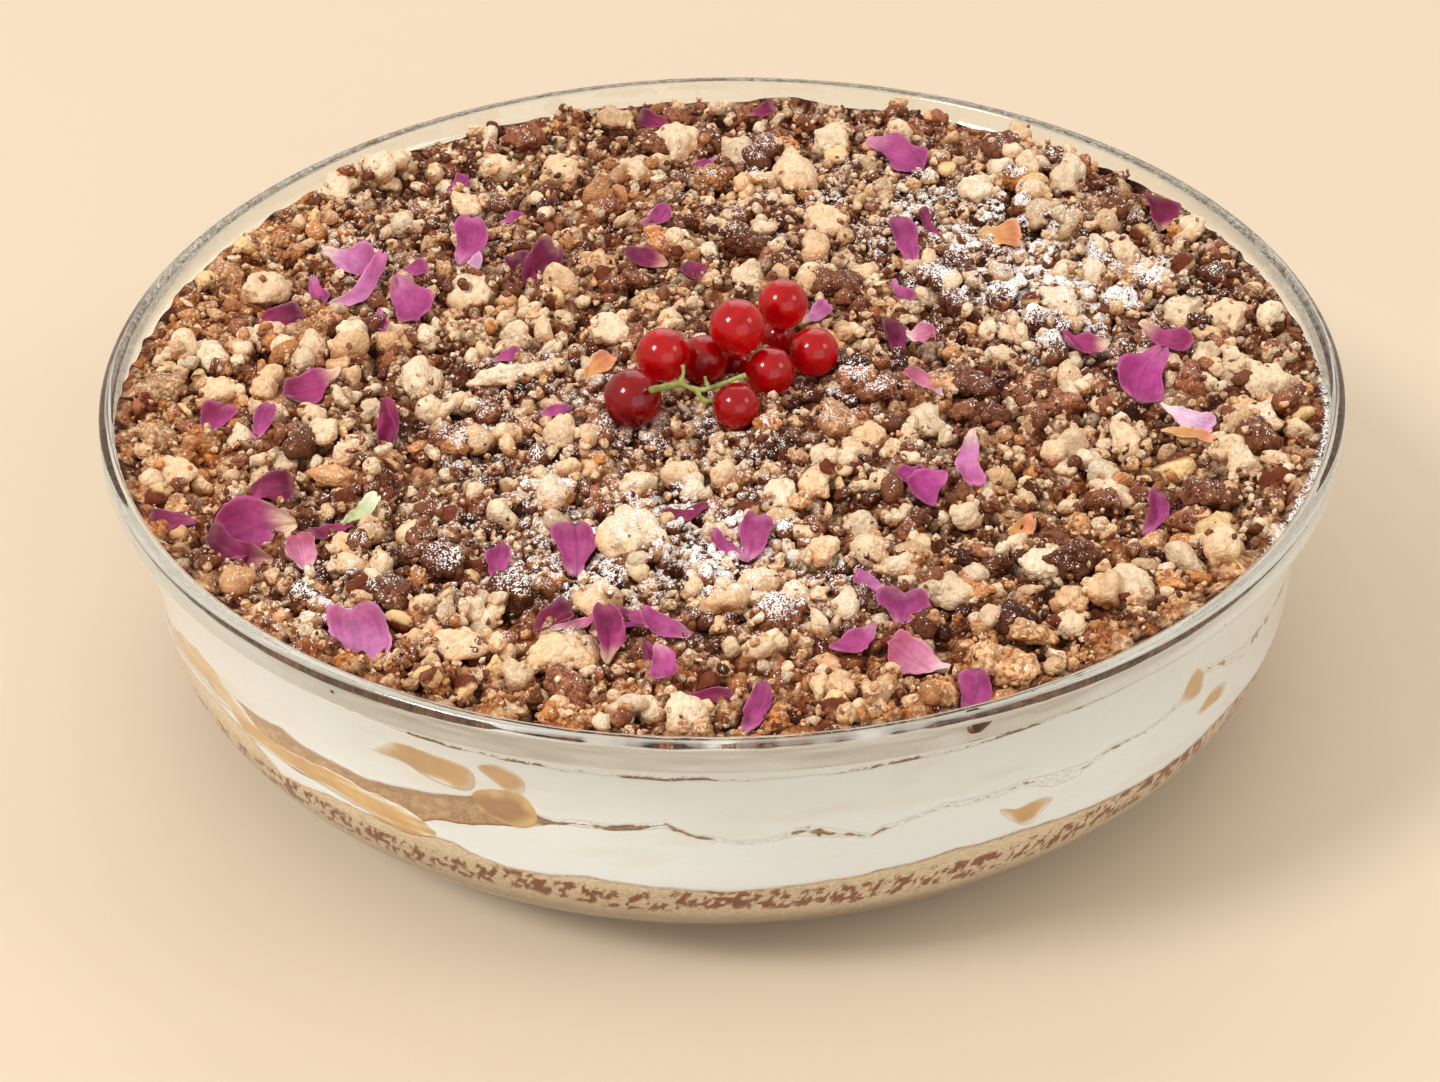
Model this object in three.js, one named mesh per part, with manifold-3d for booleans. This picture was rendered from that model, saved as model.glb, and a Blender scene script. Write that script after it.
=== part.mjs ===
import * as THREE from "three";
import { mergeVertices } from "three/addons/utils/BufferGeometryUtils.js";
import Module from "manifold-3d";

const wasm = await Module();
wasm.setup();

// A layered trifle in its round glass bowl. Millimetres, +Z up, the middle of the
// flat foot at the origin. Azimuth 0 is the front (-Y) and grows towards +X.

// Glass bowl.
const RIM_RADIUS = 120;
const BOWL_HEIGHT = 65;
const WALL = 4;
const FLOOR = 4.3;
const FOOT_RADIUS = 68.3;
const CORNER_WIDTH = 44;
const CORNER_HEIGHT = 28;
const CORNER_SWEEP = THREE.MathUtils.degToRad(88.1);
const CORNER_STEPS = 6;
const SHOULDER_RADIUS = 113.8;
const COLLAR_BOTTOM = 58;
const COLLAR_STEP = 1.6;
const COLLAR_ROUNDING = { bottomSide: 1, bottomHeight: 1.2, topHeight: 1.6, topSide: 1.4 };
// Inner side above the corner, as [radius, height]: wall, step under the lip, lip.
const INNER_FLARE = [[109.5, 50], [110.4, 56.6], [112, 58.4], [114.6, 60], [116.2, 61.6], [117, 64.2]];
const SEGMENTS = 56;

// Clear gap kept between neighbouring pieces.
const GAP = 0.35;

// Where each layer ends at the glass: [azimuth in degrees, height] rows over the
// seen half, and one mean height for the rest.
const BASE_TOP = {
  mean: 25.8,
  rows: [[-70, 27], [-64, 28.4], [-58, 28.6], [-51, 26.6], [-45, 25.5], [-39, 26.4], [-32, 26.2],
    [-26, 27], [-19, 25], [-13, 26], [-6, 25], [6, 24.8], [19, 27], [26, 27], [39, 25], [51, 24],
    [64, 25]],
};
const CREAM_LOWER_TOP = {
  mean: 36,
  rows: [[-70, 30], [-64, 31.5], [-58, 32], [-51, 29.5], [-45, 28.4], [-39, 29.6], [-32, 27.9],
    [-26, 32.5], [-19, 36.3], [-13, 38.4], [-6, 39.6], [0, 37], [6, 37.8], [13, 35.4], [19, 37.8],
    [26, 37.4], [32, 35.6], [39, 37.5], [45, 37.4], [51, 36.5], [58, 36]],
};
const CRUMB_MIDDLE_TOP = {
  mean: 37.8,
  rows: [[-70, 32], [-64, 34.5], [-58, 36], [-51, 36.1], [-45, 37.2], [-39, 36.3], [-32, 37.5],
    [-26, 39.4], [-19, 42.6], [-13, 39.7], [-6, 41.2], [0, 38.1], [6, 39.2], [13, 37], [19, 39.5],
    [26, 38.9], [32, 38.7], [39, 39], [45, 38.8], [51, 41.6], [58, 38.6]],
};
const CREAM_TOP = { mean: 51, rows: [[-64, 51.3], [-32, 50.8], [0, 50.5], [32, 51], [64, 51.2]] };
const BACK_WAVE = 0.7;
const BACK_WAVES = 5;
const INNER_RING = 0.55;
const INNER_WAVE = 0.25;

// Caramel band between the lower cream and the crumb: [azimuth, low, high].
const CARAMEL_BAND = [
  [-71, 28.7, 31], [-65, 31, 36], [-60, 32.2, 37.6], [-55, 31, 35.6], [-50, 28.6, 31.6],
  [-45, 29.2, 32.2], [-40, 30, 33.1], [-35, 27.9, 32.6], [-31, 27, 31.7], [-28.5, 27.2, 30.8],
];
const CARAMEL_DEPTH = 3;
const CARAMEL_BEVEL = 0.4;

// Caramel smeared against the glass, as outlines of [azimuth, height].
const CARAMEL_PATCHES = [
  [[-34, 44.2], [-31, 48.2], [-27.5, 48], [-24, 47.4], [-23.8, 43.4], [-25.5, 42], [-30, 44.6]],
  [[-23, 48.6], [-20.3, 49.8], [-18.7, 48], [-18.6, 45.2], [-20.2, 44.8], [-21.5, 46.5]],
  [[-23.3, 42], [-21.2, 43.6], [-18.9, 43.8], [-17.8, 40.2], [-18.1, 37.6], [-19.6, 36.4],
    [-21.8, 37.4], [-23.2, 39]],
  [[25.6, 34.6], [27.3, 32.9], [29.4, 33.6], [31.1, 32.6], [29.8, 30.2], [28.5, 28], [26, 32]],
];
const PATCH_DEPTH = 2;
const SHARPEST_BEND = 0.6;

// Crumble heap: its edge at the glass and its rise to the middle, then the rings
// of its uneven top as [radius, corners].
const HEAP_EDGE = 59.3;
const HEAP_EDGE_BUMP = 0.4;
const HEAP_EDGE_GAP = 1.5 * GAP;
const HEAP_RISE = 2.4;
const HEAP_BUMP = 1;
const HEAP_SHIFT = 2;
const HEAP_SIDES = [56.6, 58.4];
const HEAP_RINGS = [[105, 56], [94, 48], [82, 42], [70, 36], [58, 30], [46, 24], [34, 18], [22, 12],
  [10, 6]];
const NUGGET_REACH = 113.2;

// Largest nuggets: [x, y, width, depth].
const NUGGETS = [
  [-92, 34, 12, 8], [-79, 41, 6, 8], [-101, 11, 8, 11], [-98, 0, 8, 8], [-76, -19, 6, 9],
  [-72, 13, 8, 8], [-58, -4, 9, 12], [-73, -31, 9, 6], [-102, -34, 7, 9], [-59, -71, 9, 6],
  [-22, 107, 8, 6], [-33, 82, 9, 9], [-53, 70, 6, 9], [-9, 95, 10, 13], [-2, 48, 5, 8],
  [-50, 33, 9, 12], [6, 88, 9, 14], [17, 79, 9, 11], [25, 96, 8, 8], [22, 59, 9, 11], [60, 82, 6, 9],
  [6, 38, 7, 7], [-42, 0, 12, 5], [-22, 15, 8, 8], [-31, -21, 6, 9], [-16, -37, 7, 7],
  [-16, -58, 11, 10], [39, -18, 7, 9], [48, -6, 8, 12], [27, -24, 8, 8], [17, -41, 6, 9],
  [44, -49, 6, 7], [2, -34, 7, 9], [-47, -87, 9, 7], [-29, -90, 11, 8], [-28, -99, 8, 9],
  [17, -90, 7, 9], [40, -73, 9, 7], [64, 88, 7, 9], [74, 74, 7, 11], [67, 61, 8, 11], [83, 45, 7, 7],
  [68, 25, 7, 11], [93, 24, 7, 9], [101, 20, 7, 10], [105, -7, 9, 10], [103, -19, 7, 8],
  [97, -32, 8, 8], [103, -43, 6, 8], [76, -27, 6, 9], [72, -42, 8, 7], [89, -46, 8, 9],
  [89, -57, 8, 10], [84, -33, 11, 7], [57, -67, 7, 8], [61, -76, 6, 7], [71, -73, 9, 13],
  [51, -83, 8, 10], [-88, -2, 6, 6], [30, 36, 6, 6],
];
const NUGGET_HEIGHT = 0.74;
const NUGGET_LIFT = 0.16;
const NUGGET_TILT = 0.6;
const NUGGET_SPREAD = [0.92, 1.08];
const SMALL_NUGGETS = 4;
const SMALL_NUGGET_SIZES = [4.2, 6];
const SMALL_NUGGET_SPREAD = [0.8, 1.2];
const SMALL_NUGGET_REACH = 108;
const NUGGET_SPACE = 1;
const TALL_CHUNK = { x: -9, y: 108, width: 5.5, depth: 4.5, height: 12, lift: 1 };

// Red currants: [x, y, z, radius].
const BERRIES = [
  [12.3, 10.9, 71, 4.9], [3.2, -2.7, 74.2, 5.4], [-11.1, -6.2, 70.4, 5.2], [-16.9, -15.2, 66.4, 5.5],
  [-3.3, -1, 66, 4.7], [18.1, 1.3, 65.8, 4.8], [9.4, -5.2, 65.6, 4.8], [2.7, -17, 65.4, 4.5],
  [11.3, 12.6, 62.4, 3.5], [3.1, 3.4, 62.3, 3.5],
];
const BERRY_SIDES = 10;
const BERRY_RINGS = 8;
const BERRY_GAP = 1.6 * GAP;

// Currant stem: centre lines of the stalk and its branches, each with its radius.
const STEM_PATHS = [
  { radius: 1, points: [[-13.3, -19.9, 71.2], [-10, -16.1, 69.6], [-7.9, -14.5, 69.1],
    [-4.7, -15.5, 68.1], [-2.4, -15.8, 68.5], [2, -16.1, 70.8], [4.5, -14.9, 70.9]] },
  { radius: 0.7, points: [[-7.9, -14.5, 69.1], [-7.1, -12.8, 70.3], [-7.3, -11.5, 71.2]] },
  { radius: 0.8, points: [[-4.7, -15.5, 68.1], [-3.6, -18.2, 67.3], [-1.8, -19.2, 68.2]] },
  { radius: 0.6, points: [[-2.4, -15.8, 68.5], [-3, -13, 68.6], [-3.1, -11.8, 68.6]] },
];
const STEM_SIDES = 5;
const STEM_SHARE = 0.75;
const STEM_STEPS = 2;

// Rose petals: [x, y, length, width, heading, lean], heading in degrees from +X
// towards the petal's tip, lean in degrees by which its far side is raised.
const PETALS = [
  [-76, 48, 11.6, 6.7, -17, 25], [-73, 36, 16, 4, 41, 15], [-62.8, 29, 10.5, 7.4, -64, 28],
  [-88.3, 25, 8.5, 4.3, 21, 20], [-51.5, 51.5, 9.7, 6, 72, 25], [-37.2, 42, 9, 6.4, 56, 25],
  [-78.8, -2, 11.2, 6.9, -146, 25], [-97.8, -12, 7.6, 5.9, 89, 20], [-62.6, -18.3, 10.5, 5.3, -71, 28],
  [-84.3, -35, 7, 5.3, 10, 28], [-87.3, -50.5, 15, 9.4, -166, 30], [-90, -63.5, 10.8, 5.5, 175, 10],
  [-76.5, -57, 6.9, 5.2, 101, 22], [-63.9, -84, 10.5, 10.8, 84, 25], [-26.6, -59.5, 8.7, 6.7, 90, 25],
  [-41, -62.9, 7.4, 4.2, 95, 22], [5.3, -57, 8.1, 5.5, 78, 26], [31, -78.2, 5, 8.6, 85, 20],
  [23.5, -86.4, 7.6, 4.3, -130, 20], [33, -91.5, 9.6, 6.2, 152, 20], [38, -40.5, 7, 5.8, -144, 25],
  [45.6, -33, 11.5, 5, -98, 22], [42, -102, 7.9, 4.8, 65, 22], [78.7, -50, 8, 3.6, 59, 25],
  [81.6, -3.5, 11, 9, -121, 30], [87.4, 11, 11, 5.2, -33, 22], [71.9, 8, 8.1, 5.4, -171, 22],
  [88.5, -16.5, 10.4, 4.8, -34, 22], [34.3, 12, 7.7, 5.2, 119, 24], [39.2, 47, 10.6, 4.5, 95, 22],
  [38.2, 89, 12.6, 7.5, -35, 24], [92.4, 61, 7.2, 6.5, 92, 26], [-14.9, 45, 8.4, 5, 166, 20],
  [-10.5, -82.5, 8.4, 4.2, 160, 20], [-20.5, -84.5, 9.4, 6, 93, 26], [-10.9, -93, 7.4, 4.3, -79, 20],
  [4.5, -106, 9, 4, 60, 20],
];
// Petals too small to stand as pieces, fused to the crumble they lie on.
const SMALL_PETALS = [
  [-82, 36.5, 7, 3, -67, 20], [-55.6, 80, 7.4, 3.9, 51, 22], [-88, -15, 8, 3, 83, 20],
  [-6.8, -45.5, 7.8, 3.2, -155, 20], [-3, 88, 6.8, 3.6, -150, 20], [-12.8, 60, 6.3, 4.1, 35, 20],
  [39.8, -7.3, 8, 3, 126, 20], [-3, -100, 8, 3.2, 5, 20], [58.2, 54.4, 8, 6, -5, 12],
  [-13, 101, 7.2, 3.4, 152, 22], [26, -68.8, 6.3, 3.4, 155, 15],
];
const LEAF = [-67, -45, 7.4, 3.2, 40, 20];
const PETAL_THICKNESS = 0.5;
const PETAL_STATIONS = [[0.3, 0.64], [0.62, 1], [0.88, 0.74]];
const PETAL_CUP = 0.2;
const PETAL_CURL = 0.09;
const PETAL_MARGIN = 0.45;
const PETAL_SPACE = 0.5;
const FUSED_SINK = 0.7;

const MATERIALS = {
  glass: { color: 0xdfe9e5, roughness: 0.08, metalness: 0 },
  crumb: { color: 0x8c5f3c, roughness: 0.9, metalness: 0 },
  cream: { color: 0xf2ece0, roughness: 0.6, metalness: 0 },
  caramel: { color: 0xc9894a, roughness: 0.45, metalness: 0 },
  berry: { color: 0xc2161c, roughness: 0.18, metalness: 0 },
  stem: { color: 0x86a34c, roughness: 0.6, metalness: 0 },
  petal: { color: 0x9c3d8a, roughness: 0.65, metalness: 0 },
};

const { degToRad } = THREE.MathUtils;

/** Seeded random number between low and high. */
let seed = 20;
function random(low, high) {
  seed = (seed * 16807) % 2147483647;
  return low + ((high - low) * seed) / 2147483647;
}

// ---------- solids and booleans ----------

function toManifold(geometry) {
  const bare = new THREE.BufferGeometry();
  bare.setAttribute("position", geometry.getAttribute("position").clone());
  if (geometry.index) {
    bare.setIndex(geometry.index.clone());
  }
  const merged = mergeVertices(bare, 1e-4);
  return new wasm.Manifold(new wasm.Mesh({
    numProp: 3,
    vertProperties: new Float32Array(merged.getAttribute("position").array),
    triVerts: new Uint32Array(merged.index.array),
  }));
}

function fromManifold(solid) {
  const mesh = solid.getMesh();
  return indexed(mesh.vertProperties, mesh.triVerts);
}

function indexed(positions, triangles) {
  const geometry = new THREE.BufferGeometry();
  geometry.setAttribute("position", new THREE.BufferAttribute(new Float32Array(positions), 3));
  geometry.setIndex(new THREE.BufferAttribute(new Uint32Array(triangles), 1));
  return geometry;
}

/** The largest separate body of a solid, so that no loose scrap is left. */
function largestBody(solid) {
  const bodies = solid.decompose();
  bodies.sort((first, second) => second.volume() - first.volume());
  return bodies[0];
}

function node(name, geometry, slot) {
  geometry.computeVertexNormals();
  const mesh = new THREE.Mesh(geometry, new THREE.MeshStandardMaterial(MATERIALS[slot]));
  mesh.name = name;
  return mesh;
}

// ---------- bowl ----------

/** Rounded corner from the flat foot, or the floor, up to the wall. */
function cornerPoints(inset, bottom) {
  const points = [];
  for (let step = 0; step <= CORNER_STEPS; step += 1) {
    const turn = (CORNER_SWEEP * step) / CORNER_STEPS;
    const radius = FOOT_RADIUS + (CORNER_WIDTH - inset) * Math.sin(turn);
    const height = bottom + (CORNER_HEIGHT - bottom) * (1 - Math.cos(turn));
    points.push(new THREE.Vector2(radius, height));
  }
  return points;
}

/** Outer side of the thicker collar, from the shoulder up to the rim. */
function collarPoints() {
  const { bottomSide, bottomHeight, topHeight, topSide } = COLLAR_ROUNDING;
  return [
    new THREE.Vector2(SHOULDER_RADIUS, COLLAR_BOTTOM - COLLAR_STEP),
    new THREE.Vector2(RIM_RADIUS - bottomSide, COLLAR_BOTTOM),
    new THREE.Vector2(RIM_RADIUS, COLLAR_BOTTOM + bottomHeight),
    new THREE.Vector2(RIM_RADIUS, BOWL_HEIGHT - topHeight),
    new THREE.Vector2(RIM_RADIUS - topSide, BOWL_HEIGHT),
  ];
}

const INNER_PROFILE = [
  ...cornerPoints(WALL, FLOOR),
  ...INNER_FLARE.map((point) => new THREE.Vector2(...point)),
];

/** Inner radius of the glass at a height. */
function innerRadius(height) {
  const above = Math.max(1, INNER_PROFILE.findIndex((point) => point.y >= height));
  const low = INNER_PROFILE[above - 1];
  const high = INNER_PROFILE[above];
  return low.x + ((high.x - low.x) * (height - low.y)) / (high.y - low.y);
}

/** Glass bowl, turned from one closed outline. */
function buildBowl() {
  const outline = [
    new THREE.Vector2(0, 0),
    ...cornerPoints(0, 0),
    ...collarPoints(),
    ...[...INNER_PROFILE].reverse(),
    new THREE.Vector2(0, FLOOR),
  ];
  const lathe = new THREE.LatheGeometry(outline, SEGMENTS);
  lathe.rotateX(Math.PI / 2);
  return fromManifold(toManifold(lathe));
}

// ---------- bodies made of rings ----------

/** Point at a radius and height, turned from the front by an azimuth. */
function around(radius, height, azimuth) {
  return [radius * Math.sin(azimuth), -radius * Math.cos(azimuth), height];
}

/** One ring of corners; a ring of radius 0 is a single point. */
function ring(count, place) {
  const corners = [];
  for (let corner = 0; corner < count; corner += 1) {
    const azimuth = (2 * Math.PI * corner) / count;
    corners.push({ azimuth, at: place(azimuth) });
  }
  return corners;
}

/** Closed body from rings of any corner counts, listed from bottom to top. */
function ringBody(rings) {
  const positions = rings.flat().flatMap((corner) => corner.at);
  const triangles = [];
  let first = 0;
  for (let level = 1; level < rings.length; level += 1) {
    const second = first + rings[level - 1].length;
    triangles.push(...stitch(rings[level - 1], first, rings[level], second));
    first = second;
  }
  return indexed(positions, triangles);
}

/** Triangles between two rings, stepping along whichever has the nearer corner, and
 * along the finer one where both are level, so that either order splits alike. */
function stitch(lower, lowerStart, upper, upperStart) {
  const triangles = [];
  const lowerSteps = lower.length > 1 ? lower.length : 0;
  const upperSteps = upper.length > 1 ? upper.length : 0;
  const nudge = lowerSteps >= upperSteps ? 0 : 1e-6;
  let a = 0;
  let b = 0;
  while (a < lowerSteps || b < upperSteps) {
    const lowerAt = lowerStart + (a % lower.length);
    const upperAt = upperStart + (b % upper.length);
    const lowerIsNearer = (a + 1) / lowerSteps + nudge <= (b + 1) / upperSteps;
    if (b >= upperSteps || (a < lowerSteps && lowerIsNearer)) {
      a += 1;
      triangles.push(lowerAt, lowerStart + (a % lower.length), upperAt);
    } else {
      b += 1;
      triangles.push(lowerAt, upperStart + (b % upper.length), upperAt);
    }
  }
  return triangles;
}

// ---------- layers ----------

/** Height at which a layer ends at the glass. */
function wallHeight(layer, azimuth) {
  const degrees = THREE.MathUtils.radToDeg(azimuth);
  const angle = degrees > 180 ? degrees - 360 : degrees;
  const { rows, mean } = layer;
  const next = rows.findIndex((row) => row[0] >= angle);
  if (next <= 0) {
    return mean + BACK_WAVE * Math.sin(BACK_WAVES * azimuth);
  }
  const [lowAngle, lowHeight] = rows[next - 1];
  const [highAngle, highHeight] = rows[next];
  return lowHeight + ((highHeight - lowHeight) * (angle - lowAngle)) / (highAngle - lowAngle);
}

/** Height of a layer's boundary half way in, where it is calmer. */
function innerHeight(layer, azimuth) {
  return layer.mean + INNER_WAVE * (wallHeight(layer, azimuth) - layer.mean);
}

/** Rings of one boundary between layers, from the glass inwards to the middle. */
function boundaryRings(layer, lift) {
  const rim = ring(SEGMENTS, (azimuth) => {
    const height = wallHeight(layer, azimuth) + lift;
    return around(innerRadius(height) - GAP, height, azimuth);
  });
  const inner = ring(SEGMENTS / 2, (azimuth) => {
    const height = innerHeight(layer, azimuth) + lift;
    return around(INNER_RING * innerRadius(height), height, azimuth);
  });
  const middle = [{ azimuth: 0, at: [0, 0, layer.mean + lift] }];
  return [rim, inner, middle];
}

/** Ring on the side of a layer, a share of the way up between its boundaries. */
function sideRing(share, lower, upper) {
  return ring(SEGMENTS, (azimuth) => {
    const low = wallHeight(lower, azimuth) + GAP;
    const height = low + share * (wallHeight(upper, azimuth) - low);
    return around(innerRadius(height) - GAP, height, azimuth);
  });
}

/** Layer between two boundaries. */
function layerBody(lower, upper, shares) {
  const bottom = boundaryRings(lower, GAP).reverse();
  const sides = shares.map((share) => sideRing(share, lower, upper));
  return toManifold(ringBody([...bottom, ...sides, ...boundaryRings(upper, 0)]));
}

/** Crumb base: stands on the glass floor and follows its rounded corner. */
function baseBody() {
  const rings = [[{ azimuth: 0, at: [0, 0, FLOOR + GAP] }]];
  for (const point of cornerPoints(WALL, FLOOR).slice(0, CORNER_STEPS - 1)) {
    const height = point.y + GAP;
    rings.push(ring(SEGMENTS, (azimuth) => around(innerRadius(height) - GAP, height, azimuth)));
  }
  return toManifold(ringBody([...rings, ...boundaryRings(BASE_TOP, 0)]));
}

// ---------- caramel ----------

/** Band along the glass, swept through its stations; grow widens it on all sides. */
function caramelBand(grow) {
  const sections = CARAMEL_BAND.map(([degrees, low, high], index) => {
    const end = index === 0 ? -1 : Number(index === CARAMEL_BAND.length - 1);
    const azimuth = degToRad(degrees) + (end * grow) / RIM_RADIUS;
    const middle = (low + high) / 2;
    const inner = innerRadius(middle) - GAP - CARAMEL_DEPTH - grow;
    return [
      around(innerRadius(low - grow) - GAP + 2 * grow, low - grow, azimuth),
      around(innerRadius(middle) - GAP + 2 * grow, middle, azimuth),
      around(innerRadius(high + grow) - GAP + 2 * grow, high + grow, azimuth),
      around(inner, high + grow - CARAMEL_BEVEL, azimuth),
      around(inner, low - grow + CARAMEL_BEVEL, azimuth),
    ];
  });
  const size = sections[0].length;
  const triangles = [];
  for (let station = 1; station < sections.length; station += 1) {
    for (let side = 0; side < size; side += 1) {
      const next = (side + 1) % size;
      const here = (station - 1) * size;
      const there = station * size;
      triangles.push(here + side, there + side, there + next);
      triangles.push(here + side, there + next, here + next);
    }
  }
  const last = (sections.length - 1) * size;
  for (let side = 1; side < size - 1; side += 1) {
    triangles.push(0, side, side + 1, last, last + side + 1, last + side);
  }
  return toManifold(indexed(sections.flat(2), triangles));
}

/** Outline moved outwards by a distance, as [azimuth, height] corners. */
function grownOutline(outline, grow) {
  const scale = degToRad(RIM_RADIUS - WALL - GAP);
  const flat = outline.map(([degrees, height]) => new THREE.Vector2(degrees * scale, height));
  const turn = Math.sign(THREE.ShapeUtils.area(flat));
  return flat.map((point, index) => {
    const before = flat[(index + flat.length - 1) % flat.length];
    const after = flat[(index + 1) % flat.length];
    const first = point.clone().sub(before).normalize();
    const second = after.clone().sub(point).normalize();
    const out = new THREE.Vector2(first.y + second.y, -first.x - second.x).multiplyScalar(turn);
    const bend = Math.max(SHARPEST_BEND, Math.sqrt((1 + first.dot(second)) / 2));
    const moved = point.clone().addScaledVector(out.normalize(), grow / bend);
    return [moved.x / scale, moved.y];
  });
}

/** Thin slab against the glass, bounded by an outline. */
function caramelPatch(outline, grow) {
  const corners = grownOutline(outline, grow);
  const flat = corners.map(([degrees, height]) => new THREE.Vector2(degrees, height));
  const faces = THREE.ShapeUtils.triangulateShape(flat, []);
  const outwards = THREE.ShapeUtils.area(flat) > 0;
  const count = corners.length;
  const outer = corners.map(([degrees, height]) => (
    around(innerRadius(height) - GAP + 2 * grow, height, degToRad(degrees))));
  const inner = corners.map(([degrees, height]) => (
    around(innerRadius(height) - GAP - PATCH_DEPTH - grow, height, degToRad(degrees))));
  const triangles = [];
  for (const [a, b, c] of faces) {
    triangles.push(a, b, c, count + a, count + c, count + b);
  }
  for (let corner = 0; corner < count; corner += 1) {
    const next = (corner + 1) % count;
    if (outwards) {
      triangles.push(corner, count + next, next, corner, count + corner, count + next);
    } else {
      triangles.push(corner, next, count + next, corner, count + next, count + corner);
    }
  }
  return toManifold(indexed([...outer, ...inner].flat(), triangles));
}

/** Cuts the room of every caramel piece out of a layer. */
function withoutCaramel(layer) {
  let left = layer.subtract(caramelBand(GAP));
  for (const outline of CARAMEL_PATCHES) {
    left = left.subtract(caramelPatch(outline, GAP));
  }
  return fromManifold(largestBody(left));
}

// ---------- toppings ----------

/** Round currant, or the room that it needs. */
function berrySolid([x, y, z, radius], grow) {
  const outline = [];
  const size = radius + grow;
  for (let step = 0; step <= BERRY_RINGS; step += 1) {
    const turn = (Math.PI * step) / BERRY_RINGS;
    outline.push(new THREE.Vector2(size * Math.sin(turn), -size * Math.cos(turn)));
  }
  outline[0].x = 0;
  outline[BERRY_RINGS].x = 0;
  const berry = new THREE.LatheGeometry(outline, BERRY_SIDES);
  berry.rotateX(Math.PI / 2);
  berry.translate(x, y, z);
  return toManifold(berry);
}

/** One run of the stem as a thin tube along its centre line. */
function stemTube({ radius, points }) {
  const path = new THREE.CatmullRomCurve3(points.map((point) => new THREE.Vector3(...point)));
  const corners = [];
  for (let side = 0; side < STEM_SIDES; side += 1) {
    const turn = (2 * Math.PI * side) / STEM_SIDES;
    const size = radius * STEM_SHARE;
    corners.push(new THREE.Vector2(size * Math.cos(turn), size * Math.sin(turn)));
  }
  const section = new THREE.Shape(corners);
  const steps = STEM_STEPS * (points.length - 1);
  return toManifold(new THREE.ExtrudeGeometry(section, { steps, extrudePath: path }));
}

/** Currant stem: the stalk joined with its branches. */
function stemSolid() {
  const [stalk, ...branches] = STEM_PATHS;
  return branches.reduce((whole, branch) => whole.add(stemTube(branch)), stemTube(stalk));
}

/** Thin cupped petal about its own middle, both faces split alike. */
function petalFace([, , length, width, heading, lean], offset) {
  const face = [[-length / 2, 0, PETAL_CURL * length]];
  for (const [along, share] of PETAL_STATIONS) {
    for (const side of [-1, 0, 1]) {
      const across = (side * share * width) / 2;
      const cup = PETAL_CUP * width * side * side * share;
      const curl = PETAL_CURL * length * (2 * along - 1) ** 2;
      face.push([(along - 0.5) * length, across, cup + curl]);
    }
  }
  face.push([length / 2, 0, PETAL_CURL * length]);
  const turn = new THREE.Euler(degToRad(lean), 0, 0);
  return face.map((point) => new THREE.Vector3(point[0], point[1], point[2] + offset)
    .applyAxisAngle(new THREE.Vector3(0, 0, 1), degToRad(heading))
    .applyEuler(turn));
}

function petalTriangles(start, flip) {
  const last = 1 + 3 * PETAL_STATIONS.length;
  const triangles = [[0, 1, 2], [0, 2, 3]];
  for (let station = 1; station < PETAL_STATIONS.length; station += 1) {
    const a = 3 * station - 2;
    const b = a + 3;
    triangles.push([a, b, a + 1], [b, b + 1, a + 1], [a + 1, b + 1, a + 2], [b + 1, b + 2, a + 2]);
  }
  triangles.push([last - 3, last, last - 2], [last - 2, last, last - 1]);
  return triangles.flatMap(([a, b, c]) => (flip ? [start + a, start + c, start + b]
    : [start + a, start + b, start + c]));
}

/** Corners round the petal's edge, in order. */
function petalEdge() {
  const stations = PETAL_STATIONS.map((_, index) => index);
  const near = stations.map((index) => 1 + 3 * index);
  const far = stations.map((index) => 3 + 3 * index).reverse();
  return [0, ...near, 1 + 3 * PETAL_STATIONS.length, ...far];
}

/** Petal laid on the heap: raised until its lower face clears the core. */
function petalSolid(row, heightBelow, lift) {
  const [x, y] = row;
  const lower = petalFace(row, 0);
  const upper = petalFace(row, PETAL_THICKNESS);
  const clearances = lower.map((point) => heightBelow(x + point.x, y + point.y) - point.z);
  const rise = Math.max(...clearances) + lift;
  const count = lower.length;
  const positions = [...lower, ...upper].flatMap((point) => [x + point.x, y + point.y, point.z + rise]);
  const triangles = [...petalTriangles(0, true), ...petalTriangles(count, false)];
  const edge = petalEdge();
  edge.forEach((corner, index) => {
    const next = edge[(index + 1) % edge.length];
    triangles.push(corner, next, count + next, corner, count + next, count + corner);
  });
  return toManifold(indexed(positions, triangles));
}

// ---------- crumble ----------

/** Core of the heap, uneven on top, down to the upper cream. */
function heapCore() {
  const bottom = boundaryRings(CREAM_TOP, GAP).reverse();
  const sides = HEAP_SIDES.map((height) => ring(SEGMENTS, (azimuth) => (
    around(innerRadius(height) - GAP, height, azimuth))));
  const edge = ring(SEGMENTS, (azimuth) => {
    const height = HEAP_EDGE + random(-HEAP_EDGE_BUMP, HEAP_EDGE_BUMP);
    return around(innerRadius(height) - HEAP_EDGE_GAP, height, azimuth);
  });
  const top = HEAP_RINGS.map(([radius, corners]) => ring(corners, (azimuth) => {
    const rise = HEAP_RISE * (1 - (radius / NUGGET_REACH) ** 2);
    const place = radius + random(-HEAP_SHIFT, HEAP_SHIFT);
    return around(place, HEAP_EDGE + rise + random(-HEAP_BUMP, HEAP_BUMP), azimuth);
  }));
  const middle = [{ azimuth: 0, at: [0, 0, HEAP_EDGE + HEAP_RISE] }];
  return ringBody([...bottom, ...sides, edge, ...top, middle]);
}

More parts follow.
